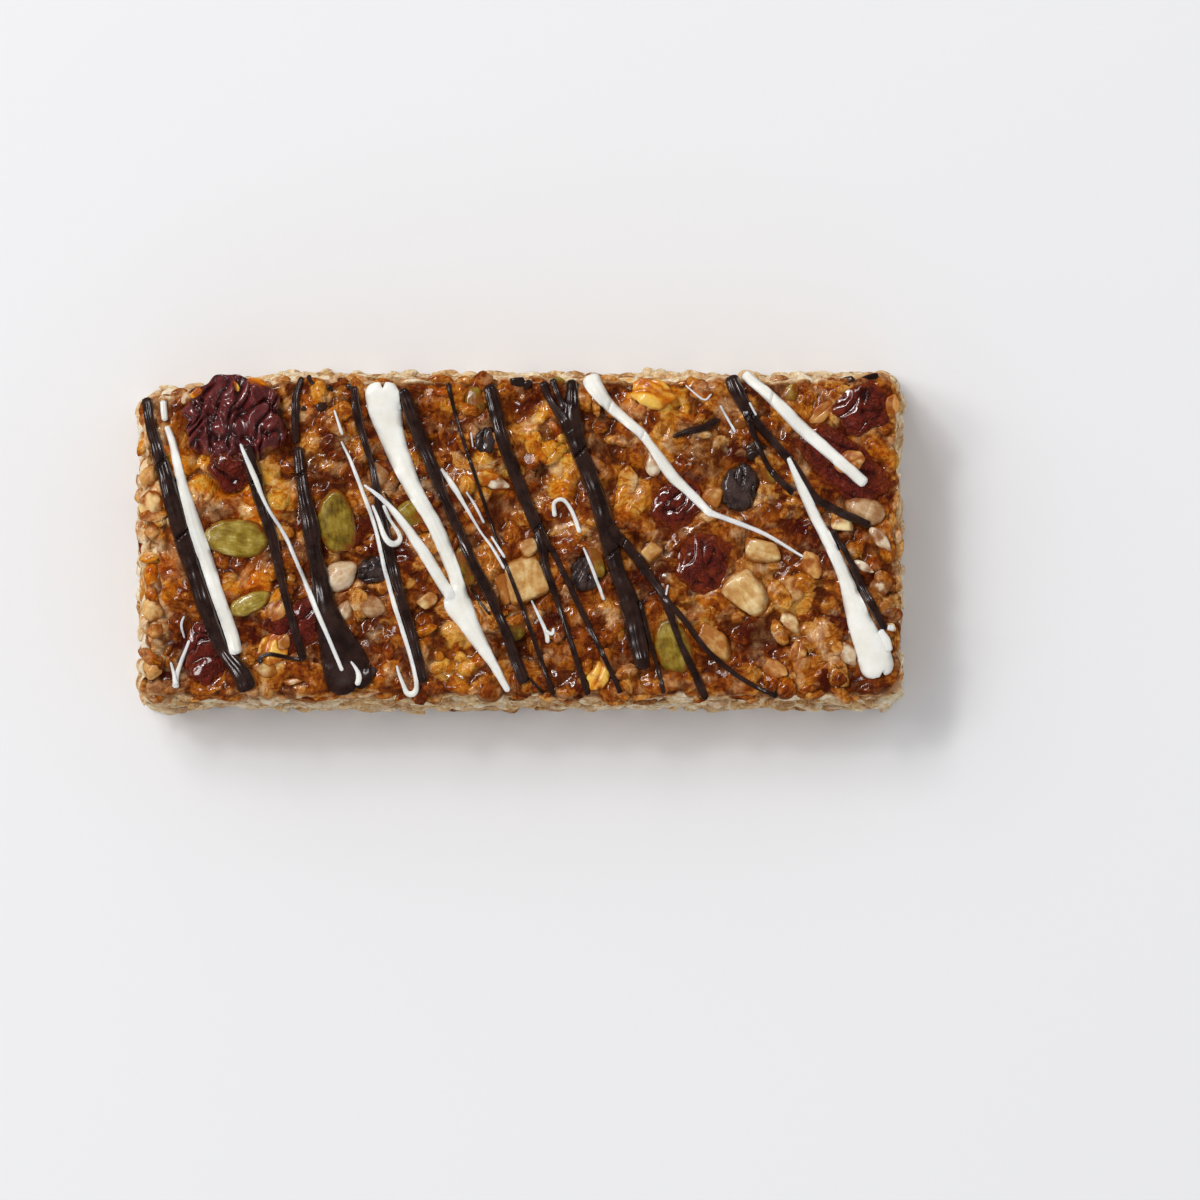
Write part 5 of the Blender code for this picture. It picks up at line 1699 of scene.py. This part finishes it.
# %% Dark drizzle
ENDINGS = {
    ("dark_strand_3", 0): {"blunt": (0.3, 0.22), "notch": (0.0, 0.5, 0.3)},
    ("dark_strand_6", 1): {"fade": (2.0, 0.0)},
    ("dark_strand_7", 1): {"fade": (0.0, 2.0)},
    ("dark_strand_7", 2): {"fade": (0.0, 2.0)},
    ("dark_strand_7", 3): {"fade": (2.5, 0.0)},
    ("dark_strand_7", 4): {"fade": (1.5, 0.0)},
    ("dark_strand_8", 1): {"fade": (1.5, 1.5)},
    ("white_strand_2", 0): {"blunt": (0.34, 0.5), "notch": (0.9, 0.0, 0.05)},
    ("white_strand_2", 1): {"fade": (0.0, 3.2)},
    ("white_strand_5", 0): {"blunt": (0.5, 0.36), "notch": (0.0, 0.7, 0.45)},
}


def lay_drizzle(name, routes, look, slot, thick_share, thickest, seed, nodes=(), uneven=1.0):
    """Strands that belong together, laid one after the other and kept as one object."""
    shells = []
    for number, route in enumerate(routes):
        ending = ENDINGS.get((nodes[0] if nodes else name, number), {})
        breaks = BREAKS.get(nodes[0], ()) if nodes else ()
        shell = strand(route, thick_share, thickest, seed + 31 * number, breaks=breaks,
                       uneven=uneven, **ending)
        heights.add(shell["upper"])
        shells.append(shell)
    make_piece(name, shells, look, slot, *nodes)


DARK_SHARE, DARK_THICKEST = 0.50, 1.25
for number, (name, routes) in enumerate(DARK_ROUTES.items()):
    lay_drizzle(name + "_set", routes, DARK, "dark_drizzle", DARK_SHARE, DARK_THICKEST,
                100 + number, (name,))
lay_drizzle("dark_threads", DARK_THREADS, DARK, "dark_drizzle", 0.62, 0.7, 300)

# %% Routes of the white drizzle
WHITE_ROUTES = {
    "white_strand_1": (
        ((-51.0, 16.6, 0.8), (-50.2, 14.4, 1.1), (-48.8, 8.8, 1.4), (-47.1, 3.0, 1.9), (-45.4, -2.3, 2.0),
         (-43.3, -8.5, 1.9), (-41.8, -12.8, 1.9), (-40.8, -16.3, 1.8)),
    ),
    "white_strand_2": (
        ((-19.9, 22.9, 4.7), (-19.8, 20.4, 4.9), (-19.2, 17.6, 4.4), (-18.2, 14.3, 3.5),
         (-16.6, 10.2, 2.9), (-14.7, 6.3, 2.3), (-12.5, 2.6, 2.2), (-10.5, -2.0, 2.2), (-9.1, -6.0, 2.1),
         (-9.0, -8.9, 4.0), (-7.5, -11.7, 3.0), (-5.8, -14.7, 2.2), (-3.9, -17.7, 1.4), (-1.7, -21.7, 0.9)),
        ((-22.5, 8.1, 0.4), (-19.4, 5.6, 0.75), (-16.6, 2.2, 1.3), (-13.7, -2.0, 1.7), (-11.5, -5.6, 1.7),
         (-9.8, -8.4, 1.6)),
    ),
    "white_strand_3": (
        ((10.0, 24.0, 2.7), (10.9, 22.0, 2.5), (13.2, 19.2, 1.7), (17.3, 15.6, 1.4), (18.6, 14.0, 1.3),
         (20.4, 11.5, 1.6), (21.9, 9.4, 1.7), (24.2, 7.2, 1.4), (27.1, 4.3, 1.2), (27.9, 3.9, 0.9),
         (31.1, 2.7, 0.75), (35.4, 0.9, 0.6), (40.8, -2.3, 0.4)),
    ),
    "white_strand_4": (
        ((32.2, 24.2, 1.5), (36.3, 20.6, 1.7), (40.8, 16.1, 1.9), (46.1, 11.4, 1.7), (49.8, 8.2, 1.7)),
    ),
    "white_strand_5": (
        ((38.6, 12.0, 0.6), (40.2, 8.4, 1.2), (42.3, 4.0, 1.6), (44.5, -0.3, 1.7), (46.5, -4.6, 1.9),
         (47.7, -8.0, 2.6), (49.0, -11.8, 3.6), (50.3, -15.0, 4.3), (51.2, -17.2, 5.0), (51.8, -19.6, 4.8)),
        ((51.8, -12.8, 0.9), (52.7, -14.2, 1.2), (53.3, -15.9, 1.1)),
        ((52.9, -12.4, 0.9), (53.9, -12.6, 0.8)),
    ),
}
WHITE_THREADS = (
    ((-51.5, 20.3, 1.0), (-51.2, 17.3, 0.9)),
    ((-40.3, 14.0, 0.4), (-38.3, 9.4, 0.8), (-36.6, 5.3, 0.5), (-33.8, 0.6, 0.6), (-31.7, -4.2, 0.6),
     (-29.8, -8.9, 0.8), (-27.6, -14.0, 0.6), (-25.6, -18.7, 0.6)),
    ((-24.4, -17.3, 0.25), (-23.5, -18.6, 0.6), (-23.2, -19.7, 0.9), (-23.5, -20.8, 0.8)),
    ((-26.8, 18.9, 0.3), (-25.6, 15.3, 0.5)),
    ((-25.8, 14.4, 0.3), (-24.5, 11.7, 0.5), (-22.9, 7.6, 0.6), (-21.0, 2.3, 0.6), (-19.4, -4.5, 0.6),
     (-18.1, -9.2, 0.7), (-16.1, -15.7, 0.6), (-15.0, -20.2, 0.7), (-15.2, -21.8, 0.9),
     (-16.2, -22.0, 0.9), (-16.8, -20.8, 0.6), (-17.4, -19.3, 0.5), (-17.8, -17.9, 0.3)),
    ((-19.7, 5.2, 0.5), (-18.7, 3.0, 0.5), (-17.4, 0.9, 0.7), (-17.5, -0.1, 0.9), (-18.5, -0.4, 0.9),
     (-19.5, 0.6, 0.8), (-20.4, 3.0, 0.6), (-21.3, 5.2, 0.4)),
    ((-11.4, 10.5, 0.4), (-9.8, 8.1, 0.9), (-8.2, 5.5, 0.6), (-5.9, 1.6, 0.35), (-4.0, -1.0, 0.45),
     (-2.3, -4.0, 0.4)),
    ((-7.8, 7.1, 0.3), (-6.6, 5.3, 0.4), (-5.2, 2.6, 0.4)),
    ((-4.2, 0.7, 0.3), (-3.3, -0.7, 0.4), (-2.2, -2.4, 0.4)),
    ((5.0, 3.5, 0.7), (4.9, 5.5, 0.6), (6.2, 5.9, 0.6), (7.5, 4.2, 0.6), (8.6, 1.2, 0.7)),
    ((9.1, -0.9, 0.3), (10.2, -3.5, 0.45), (12.1, -8.5, 0.5)),
    ((1.6, -8.5, 0.3), (3.6, -12.8, 0.6), (4.0, -14.7, 0.7)),
    ((3.6, -12.9, 0.5), (4.6, -13.4, 0.5), (4.8, -12.5, 0.4)),
    ((-47.7, -14.3, 0.4), (-49.4, -18.9, 0.7), (-49.7, -21.2, 1.1)),
    ((-50.4, -17.4, 0.3), (-49.9, -19.3, 0.6), (-49.6, -20.8, 0.9)),
    ((-48.4, -10.8, 0.3), (-48.8, -12.1, 0.35), (-48.4, -14.0, 0.3)),
    ((23.8, 22.5, 0.25), (26.4, 20.4, 0.3), (27.6, 21.2, 0.25)),
    ((28.8, 19.6, 0.3), (31.0, 15.7, 0.4)),
    ((21.3, -6.3, 0.3), (21.0, -7.8, 0.3)),
    ((33.0, 20.0, 0.3), (34.0, 18.1, 0.35)),
    ((-7.1, 15.7, 0.25), (-6.8, 13.5, 0.25)),
)
print(len(WHITE_ROUTES), "white strands and", len(WHITE_THREADS), "white threads")

# %% White drizzle
WHITE_SHARE, WHITE_THICKEST = 0.36, 0.90
for number, (name, routes) in enumerate(WHITE_ROUTES.items()):
    lay_drizzle(name + "_set", routes, WHITE, "white_drizzle", WHITE_SHARE, WHITE_THICKEST,
                700 + number, (name,), 0.5)
lay_drizzle("white_threads", WHITE_THREADS, WHITE, "white_drizzle", 0.5, 0.5, 900, (), 0.6)

# %% [markdown]
# ## Floor and light
#
# The bar lies on a pale floor in a bright, even room. A large lamp at the back left gives
# the one soft shadow. Bare room light would turn every wet grain white with sheen, so the
# room stands behind a polarising filter: it lights the bar in full and shows up only
# faintly in its gloss. Three small lamps then set the crisp highlights of the glaze.

# %% Floor
FLOOR_REACH = 3.0                       # metres from its middle to each side
floor_corners = [(FLOOR_REACH * x, FLOOR_REACH * y, 0.0)
                 for x, y in ((-1, -1), (1, -1), (1, 1), (-1, 1))]
floor_mesh = bpy.data.meshes.new("floor")
floor_mesh.from_pydata(floor_corners, [], [(0, 1, 2, 3)])
floor_look = Finish("pale_floor", {"Base Color": paint(243, 242, 242), "Roughness": 0.6})
floor_mesh.materials.append(floor_look.material)
floor = bpy.data.objects.new("floor", floor_mesh)
bpy.context.scene.collection.objects.link(floor)
floor.visible_glossy = False            # the filter takes the floor's sheen off the bar too
print("floor of", 2.0 * FLOOR_REACH, "m")

# %% Light of the room
SKY_LOW, SKY_HIGH = 0.778, 0.573        # strength of the room's light, level and overhead
SHEEN_LEFT = 0.06                       # share of it that the filter leaves in gloss
world = bpy.data.worlds.new("studio")
world.use_nodes = True
sky = world.node_tree
background = sky.nodes["Background"]
background.inputs["Color"].default_value = paint(238, 240, 244)
ray = add_node(sky, "ShaderNodeTexCoord").outputs["Generated"]
way_up = add_node(sky, "ShaderNodeSeparateXYZ", {0: ray}).outputs["Z"]
darker_above = add_node(sky, "ShaderNodeMapRange", {
    "Value": way_up, "From Min": 0.30, "From Max": 0.75, "To Min": SKY_LOW, "To Max": SKY_HIGH})
in_gloss = add_node(sky, "ShaderNodeLightPath").outputs["Is Glossy Ray"]
filtered = add_node(sky, "ShaderNodeMapRange", {
    "Value": in_gloss, "To Min": 1.0, "To Max": SHEEN_LEFT})
strength = add_node(sky, "ShaderNodeMath", {0: darker_above.outputs[0], 1: filtered.outputs[0]},
                    operation="MULTIPLY")
sky.links.new(strength.outputs[0], background.inputs["Strength"])
bpy.context.scene.world = world
bpy.context.scene.view_settings.view_transform = "Standard"
print("room light of", SKY_LOW, "level and", SKY_HIGH, "overhead")

# %% Lamps


def soft_light(name, place, size, watts, in_gloss=True):
    """A square lamp that faces the bar. One with a filter isn't seen in gloss."""
    lamp = bpy.data.lights.new(name, "AREA")
    lamp.shape = "SQUARE"
    lamp.size = size
    lamp.energy = watts
    holder = bpy.data.objects.new(name, lamp)
    holder.location = place
    holder.visible_glossy = in_gloss
    holder.rotation_mode = "QUATERNION"
    holder.rotation_quaternion = Vector(place).to_track_quat("Z", "Y")
    bpy.context.scene.collection.objects.link(holder)
    print(f"{name}: {watts} W")


soft_light("window", (-1.50, 1.15, 1.75), 1.9, 12.2, False)
soft_light("left_sheen", (-1.30, 0.45, 1.85), 0.50, 6.8)
soft_light("back_sheen", (-0.75, 1.25, 1.75), 0.50, 6.2)
soft_light("spark", (-0.80, 0.70, 1.60), 0.24, 6.0)
